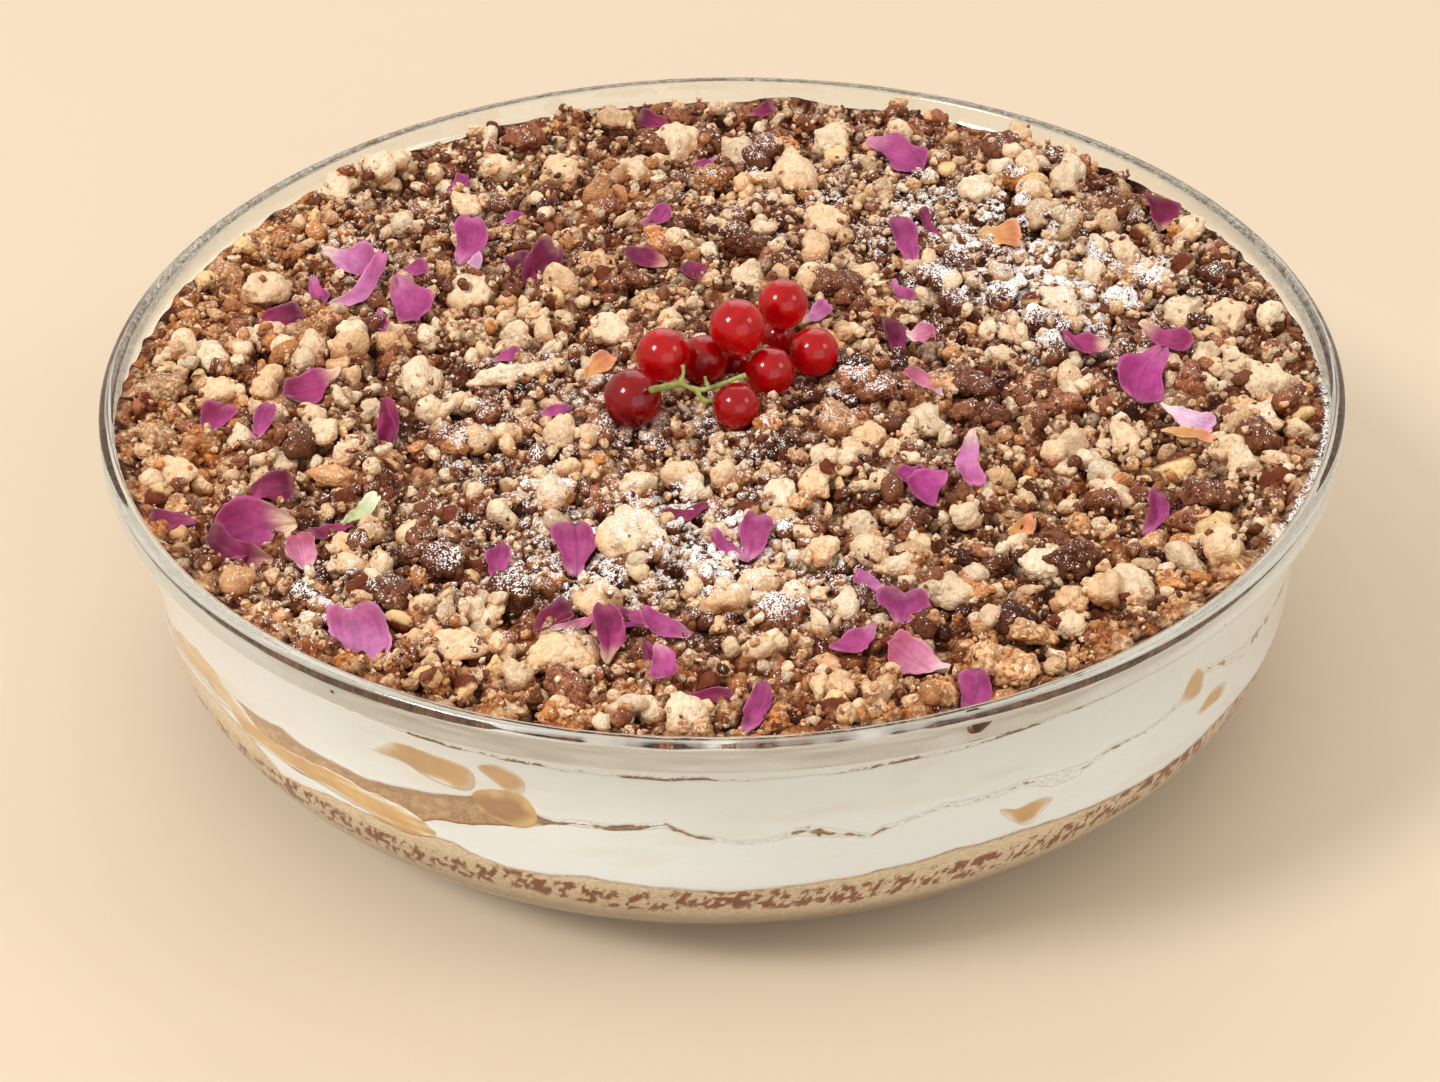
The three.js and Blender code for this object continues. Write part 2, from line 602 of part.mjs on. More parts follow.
/** Looks straight down on a mesh and gives its height at a place. */
function heightFinder(geometry) {
  const mesh = new THREE.Mesh(geometry, new THREE.MeshBasicMaterial({ side: THREE.DoubleSide }));
  const down = new THREE.Vector3(0, 0, -1);
  const caster = new THREE.Raycaster();
  return (x, y) => {
    const reach = Math.min(1, (NUGGET_REACH - 1) / Math.hypot(x, y));
    caster.set(new THREE.Vector3(x * reach, y * reach, 2 * BOWL_HEIGHT), down);
    const [hit] = caster.intersectObject(mesh);
    return hit.point.z;
  };
}

/** One rough nugget, kept inside the glass. */
function lump(x, y, base, width, depth, height) {
  const reach = Math.min(1, (NUGGET_REACH - Math.max(width, depth) / 2) / Math.hypot(x, y));
  const shape = new THREE.IcosahedronGeometry(0.5, 0);
  shape.rotateX(random(-NUGGET_TILT, NUGGET_TILT));
  shape.rotateZ(random(0, Math.PI));
  shape.scale(width * random(...NUGGET_SPREAD), depth * random(...NUGGET_SPREAD), height);
  shape.translate(x * reach, y * reach, base);
  return toManifold(shape);
}

/** Whether a round place on the heap is free of berries and petals. */
function isFree(x, y, radius) {
  const clearOfBerries = BERRIES.every(([bx, by, , size]) => (
    Math.hypot(x - bx, y - by) > radius + size + NUGGET_SPACE));
  const clearOfPetals = [...PETALS, ...SMALL_PETALS, LEAF].every(([px, py, length, width, heading]) => {
    const turn = degToRad(heading);
    const along = Math.abs((x - px) * Math.cos(turn) + (y - py) * Math.sin(turn));
    const across = Math.abs((y - py) * Math.cos(turn) - (x - px) * Math.sin(turn));
    const beside = Math.hypot(Math.max(0, along - length / 2), Math.max(0, across - width / 2));
    return beside > radius + PETAL_SPACE;
  });
  return clearOfBerries && clearOfPetals;
}

/** Places of the nuggets: the largest ones, then a few smaller ones between them. */
function nuggetRows() {
  const rows = NUGGETS.filter(([x, y, width, depth]) => isFree(x, y, Math.min(width, depth) / 2));
  while (rows.length < NUGGETS.length + SMALL_NUGGETS) {
    const radius = SMALL_NUGGET_REACH * Math.sqrt(random(0, 1));
    const azimuth = random(0, 2 * Math.PI);
    const size = random(...SMALL_NUGGET_SIZES);
    const [x, y] = around(radius, 0, azimuth);
    const apart = rows.every((row) => (
      Math.hypot(x - row[0], y - row[1]) > (size + Math.max(row[2], row[3])) / 2 + NUGGET_SPACE));
    if (apart && isFree(x, y, size / 2)) {
      rows.push([x, y, size, size * random(...SMALL_NUGGET_SPREAD)]);
    }
  }
  return rows;
}

/** Crumble heap: core, nuggets and smallest petals in one, with room for the berries. */
function buildCrumble(core, heightBelow) {
  let heap = toManifold(core);
  for (const [x, y, width, depth] of nuggetRows()) {
    const height = NUGGET_HEIGHT * Math.min(width, depth);
    heap = heap.add(lump(x, y, heightBelow(x, y) + NUGGET_LIFT * height, width, depth, height));
  }
  const { x, y, width, depth, height, lift } = TALL_CHUNK;
  heap = heap.add(lump(x, y, heightBelow(x, y) + lift, width, depth, height));
  for (const row of SMALL_PETALS) {
    heap = heap.add(petalSolid(row, heightBelow, -FUSED_SINK));
  }
  for (const row of BERRIES) {
    heap = heap.subtract(berrySolid(row, BERRY_GAP));
  }
  return fromManifold(largestBody(heap));
}

// ---------- whole trifle ----------

function twoDigits(index) {
  return String(index + 1).padStart(2, "0");
}

/** All pieces in their places. */
function buildTrifle() {
  const trifle = new THREE.Group();
  trifle.name = "trifle";
  const core = heapCore();
  const heightBelow = heightFinder(core);
  trifle.add(node("bowl", buildBowl(), "glass"));
  trifle.add(node("crumb_base", withoutCaramel(baseBody()), "crumb"));
  trifle.add(node("cream_lower", withoutCaramel(layerBody(BASE_TOP, CREAM_LOWER_TOP, [0.5])), "cream"));
  trifle.add(node("crumb_middle",
    withoutCaramel(layerBody(CREAM_LOWER_TOP, CRUMB_MIDDLE_TOP, [])), "crumb"));
  trifle.add(node("cream_upper", withoutCaramel(layerBody(CRUMB_MIDDLE_TOP, CREAM_TOP, [0.5])), "cream"));
  trifle.add(node("caramel_band", fromManifold(caramelBand(0)), "caramel"));
  CARAMEL_PATCHES.forEach((outline, index) => {
    const patch = fromManifold(caramelPatch(outline, 0));
    trifle.add(node(`caramel_patch_${index + 1}`, patch, "caramel"));
  });
  trifle.add(node("crumble_top", buildCrumble(core, heightBelow), "crumb"));
  BERRIES.forEach((row, index) => {
    trifle.add(node(`berry_${twoDigits(index)}`, fromManifold(berrySolid(row, 0)), "berry"));
  });
  trifle.add(node("currant_stem", fromManifold(stemSolid()), "stem"));
  trifle.add(node("leaf", fromManifold(petalSolid(LEAF, heightBelow, PETAL_MARGIN)), "stem"));
  PETALS.forEach((row, index) => {
    const petal = fromManifold(petalSolid(row, heightBelow, PETAL_MARGIN));
    trifle.add(node(`petal_${twoDigits(index)}`, petal, "petal"));
  });
  return trifle;
}

export default buildTrifle();
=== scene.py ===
import logging
import math
from collections.abc import Callable
from dataclasses import dataclass, field
from enum import Enum
from functools import cache, cached_property

import bmesh
import bpy
import numpy as np
from mathutils import Matrix, Vector


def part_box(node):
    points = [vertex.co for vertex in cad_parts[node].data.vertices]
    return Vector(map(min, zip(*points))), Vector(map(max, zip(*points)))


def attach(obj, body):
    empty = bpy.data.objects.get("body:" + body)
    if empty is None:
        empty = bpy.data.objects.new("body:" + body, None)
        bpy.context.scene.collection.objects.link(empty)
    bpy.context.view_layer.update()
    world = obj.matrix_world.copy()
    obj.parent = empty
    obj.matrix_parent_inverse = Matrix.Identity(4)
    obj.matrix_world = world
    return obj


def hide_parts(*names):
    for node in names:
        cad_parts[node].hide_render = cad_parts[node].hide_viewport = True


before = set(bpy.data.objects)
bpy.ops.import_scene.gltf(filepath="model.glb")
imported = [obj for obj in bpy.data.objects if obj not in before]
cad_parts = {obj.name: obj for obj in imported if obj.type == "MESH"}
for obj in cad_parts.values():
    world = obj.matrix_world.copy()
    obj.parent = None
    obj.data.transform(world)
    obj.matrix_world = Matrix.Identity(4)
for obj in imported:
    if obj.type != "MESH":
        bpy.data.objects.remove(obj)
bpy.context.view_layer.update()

# A layered trifle in its round glass bowl. Sizes are in millimetres and become metres
# where a mesh is made. Azimuth 0 is the front (-Y) and grows towards +X, in degrees.

MM = 0.001
BODY = "root"
LOG = logging.getLogger("trifle")
Array = np.ndarray
Colour = tuple[int, int, int]
Triple = tuple[float, float, float]
Body = tuple[Array, list[Array]]
Material = bpy.types.Material
Socket = bpy.types.NodeSocket

# How far each food piece reaches into the glass wall, the later ones over the earlier.
CREAM_REACH = 0.2
CRUMB_REACH = 0.28
CARAMEL_REACH = 0.36


class Tone(Enum):
    """Colours of the food, and of painted shade at the glass, as display values from 0 to 255."""

    CREAM = (252, 251, 248)
    CREAM_WARM = (238, 222, 200)
    HAZE = (248, 244, 237)
    CARAMEL = (222, 174, 118)
    CARAMEL_LIGHT = (240, 200, 136)
    CARAMEL_DARK = (178, 130, 88)
    POCKET = (178, 142, 106)
    CHOCOLATE = (82, 40, 20)
    BROWN = (136, 76, 42)
    GREY_BROWN = (166, 106, 74)
    GOLD = (202, 132, 74)
    TAN = (227, 185, 141)
    PALE = (253, 232, 201)
    PALE_WARM = (245, 209, 168)
    NUT = (242, 206, 150)
    NUT_SKIN = (116, 56, 34)
    SUGAR = (255, 250, 247)
    CRUMB_RED = (146, 84, 48)
    CRUMB_DARK = (128, 98, 66)
    # Painted shade of the dark gap between the crumble heap and the glass.
    RIM_SHADE = (94, 82, 64)
    # Painted shade of the glass collar, laid on the cream behind it.
    COLLAR = (206, 194, 180)
    BASE = (238, 214, 180)
    # Tan base colour darkened as painted shade, for the bottom of the base layer.
    BASE_LOW = (172, 146, 112)
    DRIED_TIP = (86, 56, 34)
    PETAL_EDGE = (250, 226, 214)

    @property
    def light(self) -> Array:
        """The colour as linear light."""
        return linear(self.value)


def linear(colour: Colour) -> Array:
    """Display colour as linear light, by the two-part display curve."""
    value = np.array(colour, float) / 255
    return np.where(value <= 0.04045, value / 12.92, ((value + 0.055) / 1.055) ** 2.4)


def rgba(colour: Colour) -> tuple[float, ...]:
    """Linear colour with full alpha, for a shader's own socket."""
    return (*linear(colour), 1.0)


# ---------- numbers ----------

# What scrambles a lattice point into a random value: a step for each axis and for the seed,
# and then shifts and factors, of which the low bits are kept.
AXIS_STEPS = np.array([73856093, 19349663, 83492791])
SEED_STEP = 7919
SCRAMBLES = ((13, 1274126177), (15, 22695477))
LOW_BITS = 0x7FFFFFFF


def smooth_step(value: Array, low: float, high: float) -> Array:
    """Rises from 0 at low to 1 at high, as 3t^2 - 2t^3."""
    t = np.clip((value - low) / (high - low), 0, 1)
    return t * t * (3 - 2 * t)


def lattice_noise(points: Array, size: float, seed: int) -> Array:
    """Random values on a cubic lattice, blended by a smooth step along each axis.

    Args:
        points: (..., 3) places.
        size: lattice cell.
        seed: which noise.
    Returns:
        Values from -1 to 1.
    """
    scaled = np.asarray(points, float) / size
    cell = np.floor(scaled).astype(np.int64)
    part = scaled - cell
    part = part * part * (3 - 2 * part)
    total = np.zeros(scaled.shape[:-1])
    for corner in range(8):
        bits = (corner >> np.arange(3)) & 1
        key = (cell + bits) @ AXIS_STEPS + seed * SEED_STEP
        for shift, factor in SCRAMBLES:
            key = ((key ^ (key >> shift)) * factor) & LOW_BITS
        value = ((key >> 8) & 0xFFFF) / 32767.5 - 1
        total += value * np.prod(np.where(bits, part, 1 - part), axis=-1)
    return total


def flat_noise(x: Array, y: Array, size: float, seed: int) -> Array:
    """Lattice noise over a plane."""
    return lattice_noise(np.stack([x, y, np.zeros_like(x)], axis=-1), size, seed)


def turn_signed(azimuth: Array) -> Array:
    """The same turn between -180 and 180 degrees."""
    return (azimuth + 180) % 360 - 180


def around(radius: Array | float, height: Array | float, azimuth: Array) -> Array:
    """Points round the bowl's axis, turned from the front by their azimuth.

    Args:
        radius: how far out.
        height: how far up.
        azimuth: in degrees.
    Returns:
        (..., 3) points.
    """
    turn = np.radians(azimuth)
    x, y = radius * np.sin(turn), -radius * np.cos(turn)
    return np.stack(np.broadcast_arrays(x, y, height), axis=-1)


def rounded(points: Array, rounds: int, closed: bool = False) -> Array:
    """Line with its corners cut: each round keeps the points at 1/4 and 3/4 of every side.

    Args:
        points: its corners.
        rounds: how often they are cut.
        closed: whether it runs on from its last corner to its first.
    Returns:
        The smooth line, which keeps both its ends where it is open.
    """
    for _ in range(rounds):
        start, end = (points, np.roll(points, -1, axis=0)) if closed else (points[:-1], points[1:])
        cut = np.stack([0.75 * start + 0.25 * end, 0.25 * start + 0.75 * end], axis=1)
        cut = cut.reshape(-1, points.shape[1])
        points = cut if closed else np.concatenate([points[:1], cut, points[-1:]])
    return points


def rows(text: str) -> Array:
    """Rows of numbers that are split by semicolons."""
    return np.array([row.split() for row in text.split(";")], float)


def unit(vectors: Array) -> Array:
    """Vectors drawn out or in to length 1."""
    return vectors / np.linalg.norm(vectors, axis=-1, keepdims=True)


def turns_about(axis: int, angles: Array) -> Array:
    """Rotation matrices about one axis.

    Args:
        axis: 0, 1 or 2.
        angles: (n,) in radians.
    Returns:
        (n, 3, 3) matrices.
    """
    first, second = (axis + 1) % 3, (axis + 2) % 3
    matrices = np.zeros((len(angles), 3, 3))
    matrices[:, axis, axis] = 1
    matrices[:, first, first] = matrices[:, second, second] = np.cos(angles)
    matrices[:, second, first] = np.sin(angles)
    matrices[:, first, second] = -np.sin(angles)
    return matrices


# ---------- meshes ----------

def ring_body(rings: Array, first: Array, last: Array) -> Body:
    """Closed body from rings of equal corner counts and a point at either end.

    Args:
        rings: (rings, corners, 3).
        first: end point before the first ring.
        last: end point after the last ring.
    Returns:
        Vertices, and faces: quads between the rings and triangles at both ends.
    """
    count, corners = rings.shape[:2]
    ring = np.arange(corners)
    after = (ring + 1) % corners
    near = 1 + corners * np.arange(count - 1)[:, None]
    far = near + corners
    quads = np.stack([near + ring, near + after, far + after, far + ring], -1)
    last_ring, tip = 1 + corners * (count - 1), 1 + corners * count
    ends = np.concatenate([
        np.stack([np.zeros_like(ring), 1 + after, 1 + ring], -1),
        np.stack([np.full_like(ring, tip), last_ring + ring, last_ring + after], -1)])
    return np.concatenate([[first], rings.reshape(-1, 3), [last]]), [quads.reshape(-1, 4), ends]


def capped(values: Array) -> Array:
    """Values of a ring body's corners, with its first and last ring's for the end points."""
    return np.concatenate([values[:1, 0], values.reshape(-1, values.shape[-1]), values[-1:, 0]])


def joined(bodies: list[Body]) -> Body:
    """Several bodies as one.

    Args:
        bodies: vertices and faces of each, all with the same groups of faces.
    Returns:
        Vertices and faces of all.
    """
    starts = np.cumsum([0, *(len(vertices) for vertices, _ in bodies[:-1])])
    groups = zip(*(faces for _, faces in bodies))
    faces = [np.concatenate([part + start for part, start in zip(group, starts)])
             for group in groups]
    return np.concatenate([vertices for vertices, _ in bodies]), faces


def signed_volume(vertices: Array, faces: list[Array]) -> float:
    """Volume by the tetrahedra from the origin to the triangles of each face.

    Args:
        vertices: (n, 3).
        faces: arrays of corner numbers.
    Returns:
        The volume, negative where the faces point inwards.
    """
    total = 0.0
    for group in faces:
        for corner in range(1, group.shape[1] - 1):
            a, b, c = (vertices[group[:, index]] for index in (0, corner, corner + 1))
            total += np.einsum("ij,ij->i", a, np.cross(b, c)).sum() / 6
    return total


def linked(name: str, data: bpy.types.ID) -> bpy.types.Object:
    """New object in the scene, at the origin.

    Args:
        name: its name.
        data: its mesh, light or camera.
    Returns:
        The object.
    """
    made = bpy.data.objects.new(name, data)
    bpy.context.scene.collection.objects.link(made)
    return made


def new_piece(name: str, body: Body, material: Material, nodes: tuple[str, ...] = (),
              tint: Array | None = None) -> bpy.types.Object:
    """Makes a mesh piece in its place, with its finish and its place in the frame.

    Args:
        name: the piece's name.
        body: (n, 3) vertices in millimetres, and faces as arrays of corner numbers.
        material: the finish.
        nodes: the nodes that it stands for.
        tint: (n, 4) colour and sugar for each vertex.
    Returns:
        The piece.
    """
    vertices, faces = body
    if signed_volume(vertices, faces) < 0:
        faces = [group[:, ::-1] for group in faces]
    corners = np.concatenate([group.ravel() for group in faces]).astype(np.int32)
    sizes = np.concatenate([np.full(len(group), group.shape[1]) for group in faces])
    starts = np.concatenate([[0], np.cumsum(sizes)[:-1]]).astype(np.int32)
    mesh = bpy.data.meshes.new(name)
    mesh.vertices.add(len(vertices))
    mesh.vertices.foreach_set("co", (vertices * MM).astype(np.float32).ravel())
    mesh.loops.add(len(corners))
    mesh.loops.foreach_set("vertex_index", corners)
    mesh.polygons.add(len(sizes))
    mesh.polygons.foreach_set("loop_start", starts)
    mesh.update(calc_edges=True)
    mesh.shade_smooth()
    if tint is not None:
        layer = mesh.attributes.new("tint", "FLOAT_COLOR", "POINT")
        layer.data.foreach_set("color", tint.astype(np.float32).ravel())
    mesh.materials.append(material)
    piece = linked(name, mesh)
    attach(piece, BODY)
    if nodes:
        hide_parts(*nodes)
    LOG.info("%s: %d triangles", name, int((sizes - 2).sum()))
    return piece


def with_sugar(colours: Array, sugar: Array | float = 0.0) -> Array:
    """Colours with the amount of what covers them, mostly sugar, as a fourth value."""
    amount = np.broadcast_to(sugar, colours.shape[:-1])[..., None]
    return np.concatenate([colours, amount], axis=-1)


def mixed(first: Array, second: Array, share: Array) -> Array:
    """Colours from first to second by a share from 0 to 1."""
    return first + (second - first) * np.clip(share, 0, 1)[..., None]


def held(colours: Array, top: float = 0.92) -> Array:
    """Colours scaled down where their strongest channel is above the top."""
    return colours * np.minimum(1, top / np.maximum(colours.max(axis=-1, keepdims=True), 1e-6))


def deepened(colours: Array, share: Array) -> Array:
    """Colours in shade: red, green and blue times share^0.7, share^1.05 and share^1.4."""
    return colours * np.clip(share, 0.02, 1)[..., None] ** np.array([0.7, 1.05, 1.4])


# ---------- finishes ----------

class Shader:
    """Short hand for a material's nodes."""

    def __init__(self, name: str) -> None:
        """Starts an empty material.

        Args:
            name: the finish's name.
        """
        self.material = bpy.data.materials.new(name)
        self.material.use_nodes = True
        self.tree = self.material.node_tree
        self.tree.nodes.clear()

    def node(self, kind: str, sockets: dict | None = None, **settings: object) -> bpy.types.Node:
        """Adds a node.

        Args:
            kind: its type without the ShaderNode in front.
            sockets: values or sockets to link, by input name or number.
            settings: the node's own settings.
        Returns:
            The node.
        """
        made = self.tree.nodes.new("ShaderNode" + kind)
        for key, value in settings.items():
            setattr(made, key, value)
        for key, value in (sockets or {}).items():
            if isinstance(value, Socket):
                self.tree.links.new(value, made.inputs[key])
            else:
                made.inputs[key].default_value = value
        return made

    def tint(self) -> tuple[Socket, Socket]:
        """Colour of the piece's tint, and the amount of what covers it."""
        outputs = self.node("Attribute", attribute_name="tint").outputs
        return outputs["Color"], outputs["Alpha"]

    def place(self) -> Socket:
        """Object coordinates, in metres."""
        return self.node("TexCoord").outputs["Object"]

    def noise(self, grains_per_metre: float, detail: float, place: Socket | None = None) -> Socket:
        """Cloudy noise of a given fineness, from 0 to 1."""
        sockets = {"Vector": place or self.place(), "Scale": grains_per_metre, "Detail": detail}
        return self.node("TexNoise", sockets).outputs["Fac"]

    def scaled(self, value: Socket, low: float, high: float, start: float = 0.0,
               end: float = 1.0) -> Socket:
        """Value from low to high mapped to start to end, held at both ends."""
        span = {"Value": value, "From Min": low, "From Max": high, "To Min": start, "To Max": end}
        return self.node("MapRange", span).outputs["Result"]

    def math(self, operation: str, *values: Socket | float) -> Socket:
        """One operation on its two or three values."""
        return self.node("Math", dict(enumerate(values)), operation=operation).outputs[0]

    def blend(self, share: Socket | float, first: object, second: object,
              mode: str = "MIX") -> Socket:
        """Two colours mixed by a share."""
        sockets = {0: share, 6: first, 7: second}
        return self.node("Mix", sockets, data_type="RGBA", blend_type=mode).outputs[2]

    def bump(self, height: Socket, strength: float, distance: float) -> Socket:
        """Normal roughened by a height, over a distance in metres."""
        sockets = {"Height": height, "Strength": strength, "Distance": distance}
        return self.node("Bump", sockets).outputs["Normal"]

    def dressed(self, sockets: dict) -> Material:
        """Closes the material with one surface that reflects by its sockets."""
        return self.finish(self.node("BsdfPrincipled", sockets).outputs[0])

    def finish(self, surface: Socket, volume: Socket | None = None) -> Material:
        """Closes the material.

        Args:
            surface: its surface.
            volume: its inside, if it has one.
        Returns:
            The material.
        """
        output = self.node("OutputMaterial")
        self.tree.links.new(surface, output.inputs["Surface"])
        if volume:
            self.tree.links.new(volume, output.inputs["Volume"])
        return self.material


@dataclass(frozen=True)
class TintedFinish:
    """Food coloured by its tint attribute, with fine grain and sugar specks."""

    name: str
    roughness: float = 0.7
    grain: float = 1400.0
    contrast: float = 0.3
    bump: float = 0.5
    bump_depth: float = 0.0003
    specular: float = 0.3
    subsurface: float = 0.0
    specks: float = 2600.0

    @cache
    def build(self) -> Material:
        """Tint times grain, under specks of sugar where noise is below the amount.

        Returns:
            The material.
        """
        shader = Shader(self.name)
        colour, amount = shader.tint()
        grain = shader.noise(self.grain, 3.0)
        shade = shader.scaled(grain, 0.3, 0.7, 1 - self.contrast, 1 + self.contrast / 2)
        grained = shader.blend(1.0, colour, shade, "MULTIPLY")
        over = shader.math("SUBTRACT", amount, shader.noise(self.specks, 1.0))
        cover = shader.scaled(over, 0.0, 0.12)
        return shader.dressed({
            "Base Color": shader.blend(cover, grained, rgba(Tone.SUGAR.value)),
            "Normal": shader.bump(grain, self.bump, self.bump_depth),
            "Roughness": self.roughness, "Specular IOR Level": self.specular,
            "Subsurface Weight": self.subsurface, "Subsurface Radius": (1.0, 0.7, 0.5),
            "Subsurface Scale": 0.0015})


@dataclass(frozen=True)
class GrainFinish:
    """Crumb made of bonded grains: each has its own shade, and some carry another tone."""

    name: str
    cover: Tone = Tone.SUGAR
    speck: Tone = Tone.GREY_BROWN
    grains: float = 1150.0
    contrast: float = 0.45
    specks: float = 0.03
    bump: float = 0.9
    bump_depth: float = 0.0005
    roughness: float = 0.6
    specular: float = 0.15
    flatten: float = 1.0
    grit: float = 2.2

    @cache
    def build(self) -> Material:
        """Tint times each cell's shade, covered where the cell's draw is below the amount.

        Returns:
            The material.
        """
        shader = Shader(self.name)
        colour, amount = shader.tint()
        place = shader.node("VectorMath", {0: shader.place(), 1: (1.0, 1.0, self.flatten)},
                            operation="MULTIPLY").outputs[0]
        cells = shader.node("TexVoronoi", {"Vector": place, "Scale": self.grains})
        shade_draw, cover_draw, speck_draw = shader.node(
            "SeparateColor", {0: cells.outputs["Color"]}).outputs
        dim = tuple(1 - self.contrast * part for part in (0.85, 1.05, 1.25)) + (1.0,)
        bright = (1 + 0.5 * self.contrast,) * 3 + (1.0,)
        shade = shader.blend(shade_draw, dim, bright)
        grained = shader.blend(1.0, colour, shade, "MULTIPLY")
        dust = shader.scaled(shader.noise(self.grit * self.grains, 1.0, place), 0.3, 0.7)
        draw = shader.math("MULTIPLY_ADD", cover_draw, 0.35, shader.math("MULTIPLY", dust, 0.65))
        cover = shader.scaled(shader.math("SUBTRACT", amount, draw), 0.01, 0.08)
        few = shader.scaled(speck_draw, self.specks - 0.01, self.specks, 1.0, 0.0)
        specked = shader.blend(few, grained, rgba(self.speck.value))
        fine = shader.math("MULTIPLY", dust, 0.3)
        height = shader.math("SUBTRACT", fine, cells.outputs["Distance"])
        return shader.dressed({
            "Base Color": shader.blend(cover, specked, rgba(self.cover.value)),
            "Normal": shader.bump(height, self.bump, self.bump_depth),
            "Roughness": self.roughness, "Specular IOR Level": self.specular})


@dataclass(frozen=True)
class GlassFinish:
    """Clear glass that lets the light through to the food."""

    name: str = "clear_glass"
    colour: Colour = (252, 254, 252)
    shadow: Colour = (252, 253, 252)
    ior: float = 1.5
    depth_colour: tuple[float, ...] = (0.8, 0.88, 0.84, 1.0)
    density: float = 9.0

    def build(self) -> Material:
        """Refracting glass, clear to shadow rays, greenish where it is looked through for long.

        Returns:
            The material.
        """
        shader = Shader(self.name)
        glass = shader.node("BsdfPrincipled", {
            "Base Color": rgba(self.colour), "Roughness": 0.0, "IOR": self.ior,
            "Transmission Weight": 1.0})
        clear = shader.node("BsdfTransparent", {"Color": rgba(self.shadow)})
        path = shader.node("LightPath")
        surface = shader.node("MixShader", {
            0: path.outputs["Is Shadow Ray"], 1: glass.outputs[0], 2: clear.outputs[0]})
        body = shader.node("VolumeAbsorption", {
            "Color": self.depth_colour, "Density": self.density})
        return shader.finish(surface.outputs[0], body.outputs[0])


@dataclass(frozen=True)
class BerryFinish:
    """Glossy, slightly see-through red skin."""

    name: str = "currant_skin"
    clouds: float = 420.0

    def build(self) -> Material:
        """Red flesh that scatters light under a glossy skin, coloured by its tint.

        Returns:
            The material.
        """
        shader = Shader(self.name)
        cloud = shader.scaled(shader.noise(self.clouds, 3.0), 0.3, 0.7, 0.88, 1.08)
        return shader.dressed({
            "Base Color": shader.blend(1.0, shader.tint()[0], cloud, "MULTIPLY"),
            "Roughness": 0.2, "IOR": 1.35, "Specular IOR Level": 0.1,
            "Transmission Weight": 0.5, "Subsurface Weight": 0.8,
            "Subsurface Radius": (1.0, 0.06, 0.05), "Subsurface Scale": 0.004,
            "Coat Weight": 0.5, "Coat Roughness": 0.03})


@dataclass(frozen=True)
class PlainFinish:
    """One colour all over."""

    name: str
    colour: Colour
    roughness: float = 0.9
    specular: float = 0.1

    def build(self) -> Material:
        """The material, with its colour on the surface's own socket."""
        return Shader(self.name).dressed({
            "Base Color": rgba(self.colour), "Roughness": self.roughness,
            "Specular IOR Level": self.specular})


# ---------- bowl ----------

@dataclass
class GlassBowl:
    """Round glass bowl with a rounded corner and a thicker collar."""

    foot_radius: float = 68.3
    foot_inset: float = 6.0
    corner_width: float = 44.0
    corner_height: float = 28.0
    corner_sweep: float = 88.1
    wall: float = 4.0
    floor: float = 4.3
    segments: int = 256
    steps: int = 22
    collar: str = "113.8 56.4; 118.8 57.9; 120 59; 120 63.6; 119.4 64.7; 118.2 65"
    flare: str = "117 64.3; 116.2 61.6; 114.6 60; 112 58.4; 110.4 56.6; 109.5 50"

    def corner(self, inset: float, bottom: float) -> Array:
        """Quarter ellipse from the flat up to the wall: radius by sine, height by 1 - cosine.

        Args:
            inset: how far it lies inside the outer face.
            bottom: height of its flat.
        Returns:
            (steps, 2) radii and heights.
        """
        turn = np.radians(np.linspace(0, self.corner_sweep, self.steps))
        radius = self.foot_radius + (self.corner_width - inset) * np.sin(turn)
        return np.stack([radius, bottom + (self.corner_height - bottom) * (1 - np.cos(turn))], -1)

    @cached_property
    def inner_profile(self) -> Array:
        """Inner side from the floor to the lip, as radius and height."""
        flare = rounded(rows(self.flare), 2)
        return np.concatenate([self.corner(self.wall, self.floor), flare[::-1]])

    def inner_radius(self, height: Array) -> Array:
        """Inner radius of the glass at a height."""
        return np.interp(height, self.inner_profile[:, 1], self.inner_profile[:, 0])

    def build(self) -> None:
        """Turns the whole outline, from the foot's middle round to the floor's, about the axis."""
        collar = rounded(rows(self.collar), 2)
        outline = np.concatenate([
            [[self.foot_radius - self.foot_inset, 0.0]], self.corner(0, 0), collar,
            self.inner_profile[::-1]])
        azimuth = np.arange(self.segments) * 360 / self.segments
        rings = around(outline[:, :1], outline[:, 1:], azimuth[None, :])
        body = ring_body(rings, np.zeros(3), np.array([0, 0, self.floor]))
        new_piece("glass_bowl", body, GlassFinish().build(), ("bowl",))


# ---------- layers ----------

# Radii at which noise is read: on the wall, and along the edges of the layers and the heap.
WALL_RADIUS = 111.0
EDGE_RADIUS = 100.0


